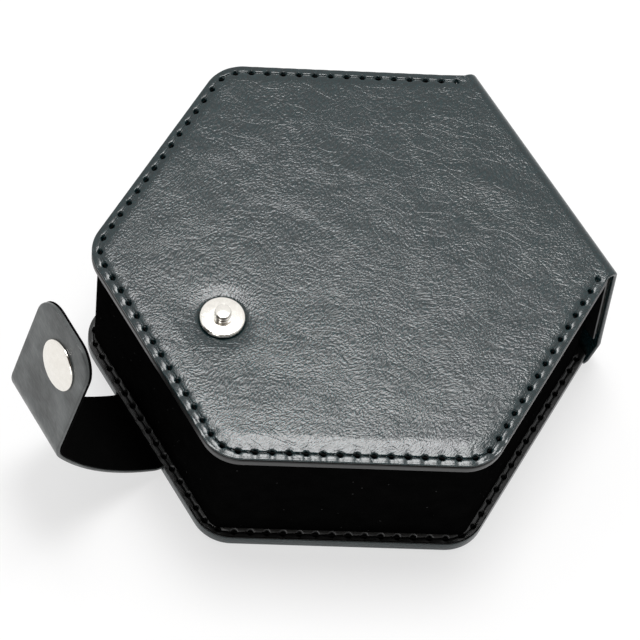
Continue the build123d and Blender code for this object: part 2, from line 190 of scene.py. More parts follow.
def connect(tree, target, inputs):
    """Sets a node's sockets to values, or links them to the nodes or sockets that feed them."""
    for name, value in inputs.items():
        if isinstance(value, bpy.types.Node):
            value = value.outputs[0]
        if isinstance(value, bpy.types.NodeSocket):
            tree.links.new(value, target.inputs[name])
        else:
            target.inputs[name].default_value = value


def node(tree, kind, inputs=None, **settings):
    """Adds a node with its settings, and feeds its sockets."""
    made = tree.nodes.new(kind)
    for name, value in settings.items():
        setattr(made, name, value)
    connect(tree, made, inputs or {})
    return made


# A Mix node's sockets for colours, by number, because its number sockets have the same names
FIRST_COLOUR, SECOND_COLOUR, MIXED_COLOUR = 6, 7, 2


def new_material(name, **values):
    """A material with one Principled shader. Returns it with its tree, shader and Object coordinates."""
    material = bpy.data.materials.new(name)
    material.use_nodes = True
    tree = material.node_tree
    shader = tree.nodes["Principled BSDF"]
    connect(tree, shader, {socket.replace("_", " "): value for socket, value in values.items()})
    return material, tree, shader, node(tree, "ShaderNodeTexCoord").outputs["Object"]


def noise(tree, place, size, detail=4.0, rough=0.55, distortion=0.0):
    """Noise whose lumps are about size millimetres across."""
    inputs = {"Vector": place, "Scale": per_mm(size), "Detail": detail, "Roughness": rough}
    return node(tree, "ShaderNodeTexNoise", inputs | {"Distortion": distortion})


def spread(tree, value, low, high, to_low=0.0, to_high=1.0):
    """A value from low to high, mapped to to_low to to_high."""
    inputs = {"Value": value, "From Min": low, "From Max": high, "To Min": to_low, "To Max": to_high}
    return node(tree, "ShaderNodeMapRange", inputs)


def mixed(tree, share, first, second):
    """The colour that runs from first to second as share goes from 0 to 1."""
    inputs = {"Factor": share, FIRST_COLOUR: first, SECOND_COLOUR: second}
    return node(tree, "ShaderNodeMix", inputs, data_type="RGBA").outputs[MIXED_COLOUR]


def bump(tree, height, depth, **inputs):
    """The normal of a surface that height, from 0 to 1, raises by depth millimetres."""
    return node(tree, "ShaderNodeBump", {"Height": height, "Distance": depth * MM, **inputs})


def drawn_place(tree, place, degrees, stretch, warp_size, warp):
    """Coordinates that stretch a pattern along a direction in the plan, bent by a slow warp in mm."""
    bends = node(tree, "ShaderNodeTexNoise", {"Vector": place, "Scale": per_mm(warp_size), "Detail": 2.0})
    inputs = {0: bends.outputs["Color"], 1: (0.5, 0.5, 0.5)}
    centred = node(tree, "ShaderNodeVectorMath", inputs, operation="SUBTRACT")
    inputs = {0: centred, 1: (warp * MM,) * 3, 2: place}
    bent = node(tree, "ShaderNodeVectorMath", inputs, operation="MULTIPLY_ADD")
    inputs = {"Vector": bent, "Rotation": (0.0, 0.0, math.radians(degrees)), "Scale": (stretch, 1.0, 1.0)}
    return node(tree, "ShaderNodeMapping", inputs, vector_type="TEXTURE")


def cover_leather(colours):
    """Polyurethane leather, embossed: small drawn pebbles, fine creases between them and long
    soft wrinkles, so that a lamp breaks up into streaks on it. Stitching presses them flatter."""
    material, tree, shader, place = new_material("pu_leather_embossed")
    drawn = drawn_place(tree, place, 110.0, 1.7, 16.0, 9.0)
    inputs = {"Vector": drawn, "Scale": per_mm(0.48), "Smoothness": 0.25}
    pebbles = node(tree, "ShaderNodeTexVoronoi", inputs, feature="SMOOTH_F1")
    creases = noise(tree, drawn, 0.38, 0.0, 0.5, 0.8)
    long_drawn = drawn_place(tree, place, 40.0, 2.6, 24.0, 16.0)
    wrinkles = noise(tree, long_drawn, 3.0, 3.0, distortion=0.5)
    # Fold lines run where a slow noise passes its middle level
    levels = noise(tree, long_drawn, 5.0, 2.0, 0.5)
    from_level = node(tree, "ShaderNodeMath", {0: levels, 1: 0.5}, operation="SUBTRACT")
    beside = node(tree, "ShaderNodeMath", {0: from_level}, operation="ABSOLUTE")
    fold_lines = spread(tree, beside, 0.0, 0.02, 1.0, 0.0)
    pressed = node(tree, "ShaderNodeAttribute", attribute_name="pressed").outputs["Fac"]
    left = spread(tree, pressed, 0.0, 1.0, 1.0, 0.2)
    clouds = bump(tree, noise(tree, place, 18.0, 2.0), 0.25)
    wrinkled = bump(tree, wrinkles, 0.045, Normal=clouds)
    folded = bump(tree, fold_lines, -0.016, Normal=wrinkled)
    creased = bump(tree, creases, 0.04, Strength=left, Normal=folded)
    relief = bump(tree, pebbles, -0.034, Strength=left, Normal=creased)
    # Painted shade: the colour is darker where the crease noise sinks, in the creases' hollows
    tone = mixed(tree, spread(tree, creases, 0.35, 0.7), colours.leather_painted_crease_shade, colours.leather_light)
    polish = spread(tree, creases, 0.3, 0.7, 0.25, 0.2)
    connect(tree, shader, {"Base Color": tone, "Roughness": polish, "Normal": relief})
    return material


def lining_leather(colours):
    """Smooth polyurethane leather, as on the lining and the edges: fine grain, satin."""
    material, tree, shader, place = new_material("pu_leather_smooth")
    clouds = noise(tree, place, 9.0, 2.0)
    tone = mixed(tree, clouds, colours.lining_dark, colours.lining_light)
    satin = spread(tree, clouds, 0.3, 0.7, 0.34, 0.42)
    relief = bump(tree, noise(tree, place, 0.5), 0.03)
    connect(tree, shader, {"Base Color": tone, "Roughness": satin, "Normal": relief})
    return material


def strap_leather(colours):
    """Satin leather of the strap: brushed across, with soft glossier patches. Its colours are a painted
    sheen: grey, lighter than the black leather, and lighter still on the patches.
    """
    material, tree, shader, place = new_material("strap_leather_satin")
    drawn = node(tree, "ShaderNodeMapping", {"Vector": place, "Scale": (0.2, 1.0, 1.0)})
    patches = noise(tree, place, 7.0, 3.0, 0.6)
    relief = bump(tree, noise(tree, drawn, 0.5, 2.0), 0.05, Normal=bump(tree, patches, 0.35))
    # Painted sheen: the strap's grey colours are lighter than its black leather, and lighter on the patches,
    # standing in for its reflection
    tone = mixed(tree, spread(tree, patches, 0.35, 0.68), colours.strap_dark_painted_sheen, colours.strap_light_painted_sheen)
    satin = spread(tree, patches, 0.3, 0.7, 0.42, 0.3)
    connect(tree, shader, {"Base Color": tone, "Roughness": satin, "Normal": relief})
    return material


def velvet(colours):
    """Short-pile velvet: its pile swallows the light, so it is almost black, with specks of lint.
    The pile is drawn coarser than it is, so that it shows."""
    material, tree, shader, place = new_material(
        "short_pile_velvet", Roughness=0.9, Specular_IOR_Level=0.0
    )
    lint = node(tree, "ShaderNodeTexVoronoi", {"Vector": place, "Scale": per_mm(3.0)}, feature="F1")
    pile = mixed(tree, noise(tree, place, 5.0), colours.velvet_dark, colours.velvet_light)
    speckled = mixed(tree, spread(tree, lint, 0.05, 0.07, 1.0, 0.0), pile, colours.lint)
    relief = bump(tree, noise(tree, place, 0.3, 3.0), 0.12)
    connect(tree, shader, {"Base Color": speckled, "Normal": relief})
    return material


def suede(colours):
    """Suede lining of the strap: a soft matt nap, mottled where it was brushed. The nap is drawn
    coarser than it is, so that it shows."""
    material, tree, shader, place = new_material("suede_brushed", Roughness=0.95, Specular_IOR_Level=0.02)
    tone = mixed(tree, noise(tree, place, 4.0, 3.0), colours.suede_dark, colours.suede_light)
    relief = bump(tree, noise(tree, place, 0.35), 0.08)
    connect(tree, shader, {"Base Color": tone, "Normal": relief})
    return material


def nickel(colours):
    """Pressed brass, nickel plated and polished: bright, with very faint pressing marks."""
    material, tree, shader, place = new_material("nickel_plate_polished", Metallic=1.0)
    marks = noise(tree, place, 1.2, 5.0)
    tone = mixed(tree, marks, colours.nickel_dark, colours.nickel_light)
    polish = spread(tree, marks, 0.3, 0.7, 0.1, 0.17)
    connect(tree, shader, {"Base Color": tone, "Roughness": polish, "Normal": bump(tree, marks, 0.01)})
    return material


def spring_steel(colours):
    """Drawn spring wire: darker than the plating, with fine drawing lines."""
    material, tree, shader, place = new_material("spring_steel_drawn", Metallic=1.0, Roughness=0.3)
    lines = noise(tree, place, 0.2, 3.0)
    tone = mixed(tree, lines, colours.steel_dark, colours.steel_light)
    connect(tree, shader, {"Base Color": tone, "Normal": bump(tree, lines, 0.01)})
    return material


def greyboard(colours):
    """Pressed grey board: matt, with flecks of fibre."""
    material, tree, shader, place = new_material("greyboard_pressed", Roughness=0.92)
    fibres = noise(tree, place, 0.8, 6.0, distortion=2.0)
    tone = mixed(tree, fibres, colours.board_dark, colours.board_light)
    connect(tree, shader, {"Base Color": tone, "Normal": bump(tree, fibres, 0.05)})
    return material


def foam(colours):
    """Closed-cell foam, die cut: matt black with small cells, cut open."""
    material, tree, shader, place = new_material("foam_closed_cell", Roughness=0.88)
    cells = node(tree, "ShaderNodeTexVoronoi", {"Vector": place, "Scale": per_mm(0.45)}, feature="F1")
    # Painted shade: the foam is darker towards each cell's middle, where the cut-open cell sinks
    tone = mixed(tree, cells, colours.foam_painted_shade_in_cells, colours.foam_light)
    connect(tree, shader, {"Base Color": tone, "Normal": bump(tree, cells, 0.1)})
    return material


def waxed_thread(colours):
    """Waxed polyester thread: black and twisted, with a dull shine on each strand."""
    material, tree, shader, place = new_material(
        "polyester_thread_waxed", Roughness=0.6, Specular_IOR_Level=0.05
    )
    strands = noise(tree, place, 0.18, 2.0)
    # Painted shade: the thread is darker where the strand noise sinks, between the strands
    tone = mixed(tree, strands, colours.thread_painted_shade, colours.thread_light)
    connect(tree, shader, {"Base Color": tone, "Normal": bump(tree, strands, 0.04)})
    return material


@functools.cache
def finish(make):
    """The material that make makes, made once."""
    return make(bpy.context.scene.dice_box_colours)


# CAD nodes that stay in sight, by their finish
CAD_FINISHES = {
    "base_board": greyboard,
    "wall_board": greyboard,
    "spine_board": greyboard,
    "lid_board": greyboard,
    "spine_lining": lining_leather,
    "stud_eyelet": nickel,
    "snap_spring": spring_steel,
}


# Settings


def length(name, description, default):
    """A length property, whose default is in millimetres."""
    return bpy.props.FloatProperty(name=name, description=description, default=default * MM, unit="LENGTH")


def angle(name, description, default):
    """An angle property, whose default is in degrees."""
    return bpy.props.FloatProperty(
        name=name, description=description, default=math.radians(default), subtype="ANGLE"
    )


def power(name, description, default):
    """A lamp's power in watts."""
    return bpy.props.FloatProperty(name=name, description=description, default=default, unit="POWER")


def colour(name, description, default):
    """A colour property, whose default is an sRGB hex colour."""
    return bpy.props.FloatVectorProperty(
        name=name, description=description, default=linear(default), subtype="COLOR", size=4
    )


class DiceBoxSizes(bpy.types.PropertyGroup):
    """Sizes of the leather work"""

    corner_radius: length("Corner radius", "Rounding of the case's corners", 10.0)
    edge_radius: length("Edge radius", "Rounding of the leather's cut edges", 0.38)
    stitch_pitch: length("Stitch pitch", "Distance from hole to hole", 3.8)
    lid_stitch_inset: length("Lid stitch inset", "Stitch line from the lid's edge", 1.95)
    base_stitch_inset: length("Base stitch inset", "Stitch line from the base's edge", 1.5)
    hole_radius: length("Hole radius", "Radius of a stitch hole", 0.62)
    hole_depth: length("Hole depth", "Depth of a stitch hole", 0.85)
    thread_diameter: length("Thread", "Diameter of the thread", 0.42)


class DiceBoxColours(bpy.types.PropertyGroup):
    """Colours of the materials"""

    # Painted shade: the dark leather colour goes into the hollows of the creases
    leather_painted_crease_shade: colour("Leather, dark", "Creases of the cover", "0c191b")
    leather_light: colour("Leather, light", "Pebbles of the cover", "11272a")
    lining_dark: colour("Lining, dark", "Smooth leather, dark", "0c0d0d")
    lining_light: colour("Lining, light", "Smooth leather, light", "151616")
    # Painted sheen: both strap colours are grey, lighter than the black leather, standing in for its
    # reflection at grazing angles
    strap_dark_painted_sheen: colour("Strap, dark", "Strap leather, dark", "343737")
    strap_light_painted_sheen: colour("Strap, light", "Strap leather, light", "4e5252")
    velvet_dark: colour("Velvet, dark", "Velvet along the pile", "030303")
    velvet_light: colour("Velvet, light", "Velvet against the pile", "0a0a0a")
    lint: colour("Lint", "Specks on the velvet", "303030")
    suede_dark: colour("Suede, dark", "Suede along the nap", "030303")
    suede_light: colour("Suede, light", "Suede against the nap", "070707")
    nickel_dark: colour("Nickel, dark", "Nickel in its marks", "e0dcd4")
    nickel_light: colour("Nickel, light", "Polished nickel", "f2efe9")
    steel_dark: colour("Steel, dark", "Spring wire, dark", "8f8f8f")
    steel_light: colour("Steel, light", "Spring wire, light", "b5b5b5")
    board_dark: colour("Board, dark", "Fibres of the board", "77736c")
    board_light: colour("Board, light", "Face of the board", "97938b")
    # Painted shade: the darker foam colour lies in the hollows of the cells
    foam_painted_shade_in_cells: colour("Foam, dark", "Cells of the foam", "0e0e0e")
    foam_light: colour("Foam, light", "Walls of the cells", "1c1c1c")
    # Painted shade: the darker thread colour lies between the strands
    thread_painted_shade: colour("Thread, dark", "Between the strands", "020202")
    thread_light: colour("Thread, light", "On the strands", "080808")


class DiceBoxStage(bpy.types.PropertyGroup):
    """Camera, lamps and world"""

    azimuth: angle("Azimuth", "Camera's direction", 51.237)
    elevation: angle("Elevation", "Camera's height", 59.057)
    roll: angle("Roll", "Camera's roll", 9.636)
    distance: length("Distance", "Camera from its target", 757.065)
    lens: bpy.props.FloatProperty(
        name="Lens", description="Camera's focal length", default=174.095, unit="CAMERA"
    )
    key_power: power("Key", "Power of the overhead softbox", 7.5)
    fill_power: power("Fill", "Power of the front lamp", 3.0)
    world_strength: bpy.props.FloatProperty(
        name="World", description="Strength of the light from all round", default=1.0
    )


# Mesh helpers


def at(y, z):
    """A point in the case's middle plane, in metres."""
    return (0.0, y * MM, z * MM)


def linked(made):
    """Puts an object in the scene."""
    bpy.context.scene.collection.objects.link(made)
    return made


def mesh_object(name, points, faces, material):
    """A smooth mesh object from points in millimetres."""
    mesh = bpy.data.meshes.new(name)
    mesh.from_pydata([tuple(float(c) * MM for c in p) for p in points], [], faces)
    mesh.validate()
    mesh.materials.append(material)
    mesh.polygons.foreach_set("use_smooth", [True] * len(mesh.polygons))
    return linked(bpy.data.objects.new(name, mesh))


def bake_modifiers(piece):
    """Turns a piece's modifiers into plain mesh."""
    evaluated = piece.evaluated_get(bpy.context.evaluated_depsgraph_get())
    mesh = bpy.data.meshes.new_from_object(evaluated)
    piece.modifiers.clear()
    piece.data = mesh
    return piece


@contextlib.contextmanager
def editing(piece):
    """A piece's mesh, open for editing."""
    work = bmesh.new()
    work.from_mesh(piece.data)
    yield work
    work.to_mesh(piece.data)
    work.free()


def face_outwards(piece):
    """Merges doubles and recalculates the normals of a closed mesh."""
    with editing(piece) as work:
        bmesh.ops.remove_doubles(work, verts=work.verts, dist=1e-6)
        bmesh.ops.recalc_face_normals(work, faces=work.faces)
    return piece


def face_to(piece, measure, side):
    """Turns an open shell's faces, so that the one with the highest measure looks to side."""
    with editing(piece) as work:
        bmesh.ops.recalc_face_normals(work, faces=work.faces)
        if max(work.faces, key=measure).normal.dot(side) < 0:
            bmesh.ops.reverse_faces(work, faces=work.faces)
    return piece


def smooth_by_angle(piece, degrees=40):
    """Keeps edges sharper than this crisp."""
    with editing(piece) as work:
        for edge in work.edges:
            if len(edge.link_faces) == 2:
                edge.smooth = edge.calc_face_angle(0.0) < math.radians(degrees)
    return piece


def crisp_end(piece, height):
    """Keeps the edges of a cut end that lies at this height crisp."""
    with editing(piece) as work:
        for edge in work.edges:
            if all(abs(corner.co.z / MM - height) < 0.15 for corner in edge.verts):
                edge.smooth = False
    return piece


def direction(degrees):
    """The unit vector at an angle in the plan."""
    return np.array((math.cos(math.radians(degrees)), math.sin(math.radians(degrees))))


def circle(centre, radius, count):
    """Points (x, y) evenly round a circle."""
    turns = 2 * np.pi * np.arange(count) / count
    return np.column_stack([centre[0] + radius * np.cos(turns), centre[1] + radius * np.sin(turns)])


def at_height(ring, height):
    """Points (x, y, height) over a ring's points in the plan."""
    return [(x, y, height) for x, y in ring]


def add_ring(points, ring):
    """Adds a ring's points, and returns their numbers."""
    first = len(points)
    points.extend(ring)
    return list(range(first, len(points)))


def grid_faces(rings, closed):
    """Quads between rings, lists of vertex numbers of equal length."""
    faces = []
    for lower, upper in zip(rings, rings[1:]):
        count = len(lower)
        for i in range(count if closed else count - 1):
            j = (i + 1) % count
            faces.append((lower[i], lower[j], upper[j], upper[i]))
    return faces


def lathe(profile, segments=96):
    """Points and faces of a profile of (radius, height) turned round Z."""
    points, rings = [], []
    for radius, height in profile:
        if radius == 0:
            rings.append(add_ring(points, [(0.0, 0.0, height)]) * segments)
        else:
            rings.append(add_ring(points, at_height(circle((0, 0), radius, segments), height)))
    corners = (tuple(dict.fromkeys(quad)) for quad in grid_faces(rings, closed=True))
    return np.array(points), [face for face in corners if len(face) > 2]


def placed(points, origin, z_axis):
    """Points moved from their own frame to the one at origin with this Z axis and the case's X axis."""
    x_axis = np.array((1.0, 0.0, 0.0))
    z_axis = np.array(z_axis, float)
    return np.array(origin) + points @ np.array([x_axis, np.cross(z_axis, x_axis), z_axis])


def hexagon_path(inset, rounding, back=None, run_steps=220, arc_steps=32):
    """Points of the case's outline moved in by inset, going clockwise from the back right.

    With back it is open, starts and ends at that Y and has four corners, and otherwise it is
    a closed loop with six.
    """
    reach = (APOTHEM - inset) / COS_30
    arcs = []
    for corner in range(0, -360 if back is None else -240, -60):
        centre = (reach - rounding / COS_30) * direction(corner)
        arcs.append([
            centre + rounding * direction(corner + 30 - 60 * k / arc_steps) for k in range(arc_steps + 1)
        ])
    if back is None:
        arcs.append(arcs[0][:1])
    else:
        cut_x = (APOTHEM - inset - back / 2) / COS_30
        arcs = [[np.array((cut_x, back))], *arcs, [np.array((-cut_x, back))]]
    points = []
    for arc, following in zip(arcs, arcs[1:]):
        run = following[0] - arc[-1]
        points.extend(arc)
        points.extend(arc[-1] + run * k / run_steps for k in range(1, run_steps))
    if back is not None:
        points.append(arcs[-1][0])
    return np.array(points)


def rounded_line(corners, radii, steps=8, spacing=1.5):
    """A polyline's points, with its inner corners rounded by radii and its runs divided by spacing."""
    line = [corners[0]]
    for before, corner, after, radius in zip(corners, corners[1:], corners[2:], radii):
        arrive = (corner - before).normalized()
        leave = (after - corner).normalized()
        turn = arrive.angle(leave)
        side = Vector((-arrive.y, arrive.x))
        if side.dot(leave) < 0:
            side = -side
        centre = corner - arrive * radius * math.tan(turn / 2) + side * radius
        for a in np.linspace(0, turn, steps + 1):
            line.append(centre - side * radius * math.cos(a) + arrive * radius * math.sin(a))
    line.append(corners[-1])
    dense = []
    for a, b in zip(line, line[1:]):
        pieces = max(1, int((b - a).length / spacing))
        dense.extend(a + (b - a) * k / pieces for k in range(pieces))
    return dense + [line[-1]]


def rounded_rectangle(half_width, low, high, radius, across, steps=4):
    """Points (x, depth) round a strip's section, with rounded corners."""

    def corner(x, depth, start):
        return [
            (x + radius * math.cos(start + a), depth + radius * math.sin(start + a))
            for a in np.linspace(0, math.pi / 2, steps + 1)
        ]

    reach = half_width - radius
    xs = np.linspace(-reach, reach, across)
    section = [(x, low) for x in xs] + corner(reach, low + radius, -math.pi / 2)[1:]
    section += corner(reach, high - radius, 0.0) + [(x, high) for x in xs[::-1]][1:]
    section += corner(-reach, high - radius, math.pi / 2)[1:] + corner(-reach, low + radius, math.pi)[1:]
    return section[:-1]


def swept_strip(line, section, middle=0.0, narrowing=None):
    """Points and faces of a section carried along a line of (y, z) points, closed at both ends.

    narrowing is how far each side comes in at each point of the line.
    """
    points, rings = [], []
    for k, place in enumerate(line):
        heading = (line[min(k + 1, len(line) - 1)] - line[max(k - 1, 0)]).normalized()
        outwards = Vector((-heading.y, heading.x))
        narrow = 0.0 if narrowing is None else narrowing[k]
        ring = []
        for x, depth in section:
            side = math.copysign(max(abs(x) - narrow, 0.0), x)
            ring.append((middle + side, *(place + outwards * depth)))
        rings.append(add_ring(points, ring))
    return points, grid_faces(rings, closed=True) + [tuple(rings[0][::-1]), tuple(rings[-1])]


def outline_rings(rows, corner_of, back=None, run_steps=30):
    """Points and rings of the case's outline at rows of (inset, height)."""
    rings, points = [], []
    for inset, height in rows:
        ring = hexagon_path(inset, corner_of(inset), back, run_steps=run_steps, arc_steps=12)
        rings.append(add_ring(points, at_height(ring, height)))
    return points, rings


def tray(name, rows, back, thickness, material, keep_face=None):
    """A sheet turned up round a board: its outer side from rows, bent inwards by thickness."""
    corner = bpy.context.scene.dice_box_sizes.corner_radius / MM
    points, rings = outline_rings(rows, lambda inset: corner - inset, back)
    faces = grid_faces(rings, closed=False)
    if keep_face is not None:
        faces = [face for face in faces if keep_face(np.mean([points[i] for i in face], axis=0))]
    faces.append(tuple(rings[-1]))
    piece = mesh_object(name, points, faces, material)
    face_to(piece, lambda face: face.calc_area(), Vector((0, 0, -1)))
    shell = piece.modifiers.new("thickness", "SOLIDIFY")
    shell.thickness = thickness * MM
    shell.offset = -1.0
    shell.use_even_offset = True
    edges = piece.modifiers.new("edges", "BEVEL")
    edges.limit_method = "ANGLE"
    edges.angle_limit = math.radians(60)
    edges.width = 0.2 * MM
    edges.segments = 3
    return bake_modifiers(piece)


def turned_under(bottom):
    """(inset, height) down a lining's edge where it bends in under its board."""
    return [
        (EDGE_BEND - EDGE_BEND * math.cos(a), bottom + EDGE_BEND - EDGE_BEND * math.sin(a))
        for a in np.linspace(0, math.pi / 2, 7)
    ]


def closed_rows(name, rows, corner_of, material):
    """A closed form from rows of (inset, height), with a flat face at each end."""
    points, rings = outline_rings(rows, corner_of)
    faces = grid_faces(rings, closed=True) + [tuple(rings[0][::-1]), tuple(rings[-1])]
    return face_outwards(mesh_object(name, points, faces, material))


# Stitched sheets


def front_share(plan):
    """1 near the front right side, where the leather slopes wide to its stitches, and 0 elsewhere."""
    return np.clip((plan @ direction(-30) / APOTHEM - 0.8) / 0.15, 0, 1)


def roll_width(plan, roll):
    """How wide a sheet slopes down to its stitches, where roll is the most it may be."""
    return roll * (0.3 + 0.7 * front_share(plan))


class StitchLine:
    """A line of stitches inside the case's edge, with the distances of its holes along it"""

    def __init__(self, inset, back):
        sizes = bpy.context.scene.dice_box_sizes
        self.inset, self.back = inset, back
        self.hole_radius = sizes.hole_radius / MM
        self.hole_depth = sizes.hole_depth / MM
        corner = sizes.corner_radius / MM - inset
        self.points = hexagon_path(inset, corner, back, run_steps=900, arc_steps=140)
        steps = np.linalg.norm(np.diff(self.points, axis=0), axis=1)
        self.along = np.concatenate(([0.0], np.cumsum(steps)))
        usable = self.along[-1] - 2 * STITCH_MARGIN
        count = round(usable / (sizes.stitch_pitch / MM))
        self.holes = STITCH_MARGIN + usable * np.arange(count + 1) / count
        self.spacing = self.holes[1] - self.holes[0]
        self.nearest = kdtree.KDTree(len(self.points))
        for i, (x, y) in enumerate(self.points):
            self.nearest.insert((x, y, 0.0), i)
        self.nearest.balance()

    def drop(self, ring, inset, roll):
        """How far the stitching pulls a sheet down at a ring's points, which lie inset from its edge.

        roll is how wide the sheet slopes down to the line from its inner side.
        """
        distance = self.along[[self.nearest.find((x, y, 0.0))[1] for x, y in ring]]
        number = np.clip(np.round((distance - self.holes[0]) / self.spacing), 0, len(self.holes) - 1)
        from_hole = distance - self.holes[0] - number * self.spacing
        off_line = inset - self.inset
        inside, outside = max(off_line, 0.0), max(-off_line, 0.0)
        fade = np.clip((self.back - ring[:, 1]) / STITCH_FADE, 0, 1)
        fade = fade * fade * (3 - 2 * fade)
        steep = 0.45 + 0.55 * front_share(ring)
        slope = ROLL_DROP * steep * np.clip(1 - inside / roll_width(ring, roll), 0, 1) ** 1.2
        pinch = np.exp(-((from_hole / 0.85) ** 2))
        crest = CREST_RISE * (1 - 0.85 * pinch) * (1 - np.exp(-outside / 0.35))
        strip = EDGE_DROP * (outside / self.inset) ** 2 - crest if off_line < 0 else 0.0
        groove = GROOVE_DEPTH * np.exp(-((off_line / 0.2) ** 2))
        slack = 1.0 if off_line < 0 else 1.5
        pull = PULL_DEPTH * np.exp(-((from_hole / 0.9) ** 2)) * np.exp(-((off_line / slack) ** 2))
        pit = self.hole_depth * np.exp(-((np.hypot(from_hole, off_line) / self.hole_radius) ** 8))
        return fade * (groove + pull + slope + strip) + pit * (fade > 0.02)


def rounded_side(low, high, radius, steps=5):
    """(inset, height) up a sheet's cut edge, rounded above and below."""
    angles = np.linspace(0, math.pi / 2, steps)
    lower = [(radius - radius * math.sin(a), low + radius - radius * math.cos(a)) for a in angles]
    upper = [(radius - radius * math.cos(a), high - radius + radius * math.sin(a)) for a in angles]
    return lower + upper


def stitched_sheet(low, high, stitches, band, roll):
    """A stitched sheet's grid of rings, from its lower edge over its side to the end of the band."""
    sizes = bpy.context.scene.dice_box_sizes
    side = rounded_side(low, high, sizes.edge_radius / MM)
    start = side[-1][0]
    insets = np.concatenate([
        np.linspace(start, stitches.inset - 1.0, 5)[1:],
        np.linspace(stitches.inset - 0.85, stitches.inset + 0.85, 15),
        np.linspace(stitches.inset + 1.1, band, 9),
    ])
    middle = (low + high) / 2
    grid = []
    for inset, height in side + [(inset, high) for inset in insets if start < inset <= band]:
        ring = hexagon_path(inset, max(sizes.corner_radius / MM - inset, 1.0), stitches.back)
        share = min(max((height - middle) / (high - middle), 0.0), 1.0)
        drop = stitches.drop(ring, max(inset, start), roll)
        grid.append(np.column_stack([ring, np.full(len(ring), height) - share * drop]))
    return grid


def sheet_mesh(grid, dimple=None, steps=40):
    """Points, faces and the loop along the back of a stitched sheet, open along its back.

    dimple is the (x, y) of a fastener that presses the sheet down round itself.
    """
    points = []
    rings = [add_ring(points, ring) for ring in grid]
    shares = np.arange(1, steps) / steps
    top = add_ring(points, [grid[-1][0] + (grid[-1][-1] - grid[-1][0]) * s for s in shares])
    low = add_ring(points, [grid[0][-1] + (grid[0][0] - grid[0][-1]) * s for s in shares])
    faces = grid_faces(rings, closed=False)
    face = rings[-1] + top[::-1]
    faces.extend([tuple(face)] if dimple is None else dimpled_face(points, face, dimple))
    faces.append(tuple(rings[0][::-1] + low[::-1]))
    loop = [ring[0] for ring in rings] + top + [ring[-1] for ring in rings[::-1]] + low
    return points, faces, loop


def dimpled_face(points, outline, centre, segments=96):
    """Fills an outline with triangles, pressed down round centre. Adds its points to points."""
    plan = [Vector(points[i][:2]) for i in outline]
    edges = [(i, (i + 1) % len(outline)) for i in range(len(outline))]
    height = points[outline[0]][2]
    for radius in DIMPLE_RADII:
        ring = add_ring(plan, [Vector(p) for p in circle(centre, radius, segments)])
        edges.extend(zip(ring, ring[1:] + ring[:1]))
    flat, _, cells, origin, _, _ = delaunay_2d_cdt(plan, edges, [], 1, 1e-5)
    numbers = []
    for place, old in zip(flat, origin):
        known = [outline[o] for o in old if o < len(outline)]
        if known:
            numbers.append(known[0])
            continue
        beyond = max(math.hypot(place.x - centre[0], place.y - centre[1]) - DIMPLE_EDGE, 0.0)
        wide, close = math.exp(-((beyond / 2.4) ** 1.4)), math.exp(-((beyond / 0.35) ** 2))
        drop = DIMPLE_DEPTH * (0.6 * wide + 0.4 * close)
        numbers.extend(add_ring(points, [np.array((place.x, place.y, height - drop))]))
    return [tuple(numbers[i] for i in cell) for cell in cells]


def spine_frames():
    """Frames from the lid's back edge over the fold and down to the spine's foot.

    Each is a function from (x, depth) on the sheet's section to a point.
    """

    def frame_at(y, z, heading, narrowing):
        half = LID_HALF_BACK + (SPINE_HALF_WIDTH - LID_HALF_BACK) * narrowing

        def place(x, depth):
            return np.array((
                x * half / LID_HALF_BACK, y + math.cos(heading) * depth, z + math.sin(heading) * depth
            ))

        return place

    up = math.pi / 2
    frames = [frame_at(LID_PIVOT[0], LID_TOP, up, 0.1)]
    for share in np.arange(1, 19) / 18:
        heading = up + (SPINE_LEAN - up) * share
        frames.append(frame_at(*fold_place(heading, FOLD_RADIUS), heading, 0.1 + 0.9 * share))
    top_y, top_z = fold_place(SPINE_LEAN, FOLD_RADIUS)
    for share in np.arange(1, 13) / 12:
        down = (top_z - SPINE_FOOT) * share
        frames.append(frame_at(top_y + down * math.tan(SPINE_LEAN), top_z - down, SPINE_LEAN, 1.0))
    return frames


def fold_place(heading, radius):
    """The (y, z) at a heading and a radius round the axis of the fold at the lid's back."""
    return LID_PIVOT[0] + radius * math.cos(heading), LID_PIVOT[1] + radius * math.sin(heading)


def sweep(points, faces, loop, frames):
    """Carries a loop of a sheet's back along frames, and closes its end."""
    section = [(points[i][0], points[i][2] - LID_TOP) for i in loop]
    rings = [loop]
    for place in frames:
        rings.append(add_ring(points, [place(x, depth) for x, depth in section]))
    faces.extend(grid_faces(rings, closed=True))
    faces.append(tuple(rings[-1]))


def mark_pressed(piece, line_inset, roll):
    """Stores where the stitching presses the leather smooth, for its material."""
    mesh = piece.data
    places = np.empty(3 * len(mesh.vertices))
    mesh.vertices.foreach_get("co", places)
    places = places.reshape(-1, 3) / MM
    plan = places[:, :2]
    reach = np.max([plan @ direction(30 + 60 * k) for k in range(2, 7)], axis=0)
    inside = np.clip((APOTHEM - reach - line_inset) / roll_width(plan, roll), 0, 1)
    share = np.where(inside > 0, 0.6 * (1 - inside**4), 1.0)
    share[(places[:, 2] < LID_SEAM) | (places[:, 1] > LID_BACK - 2)] = 0
    mesh.attributes.new("pressed", "FLOAT", "POINT").data.foreach_set("value", share)


# Insert


WELL_PLACES = [(0.0, 0.0)] + [tuple(place) for place in circle((0, 0), WELL_RING, 6)]


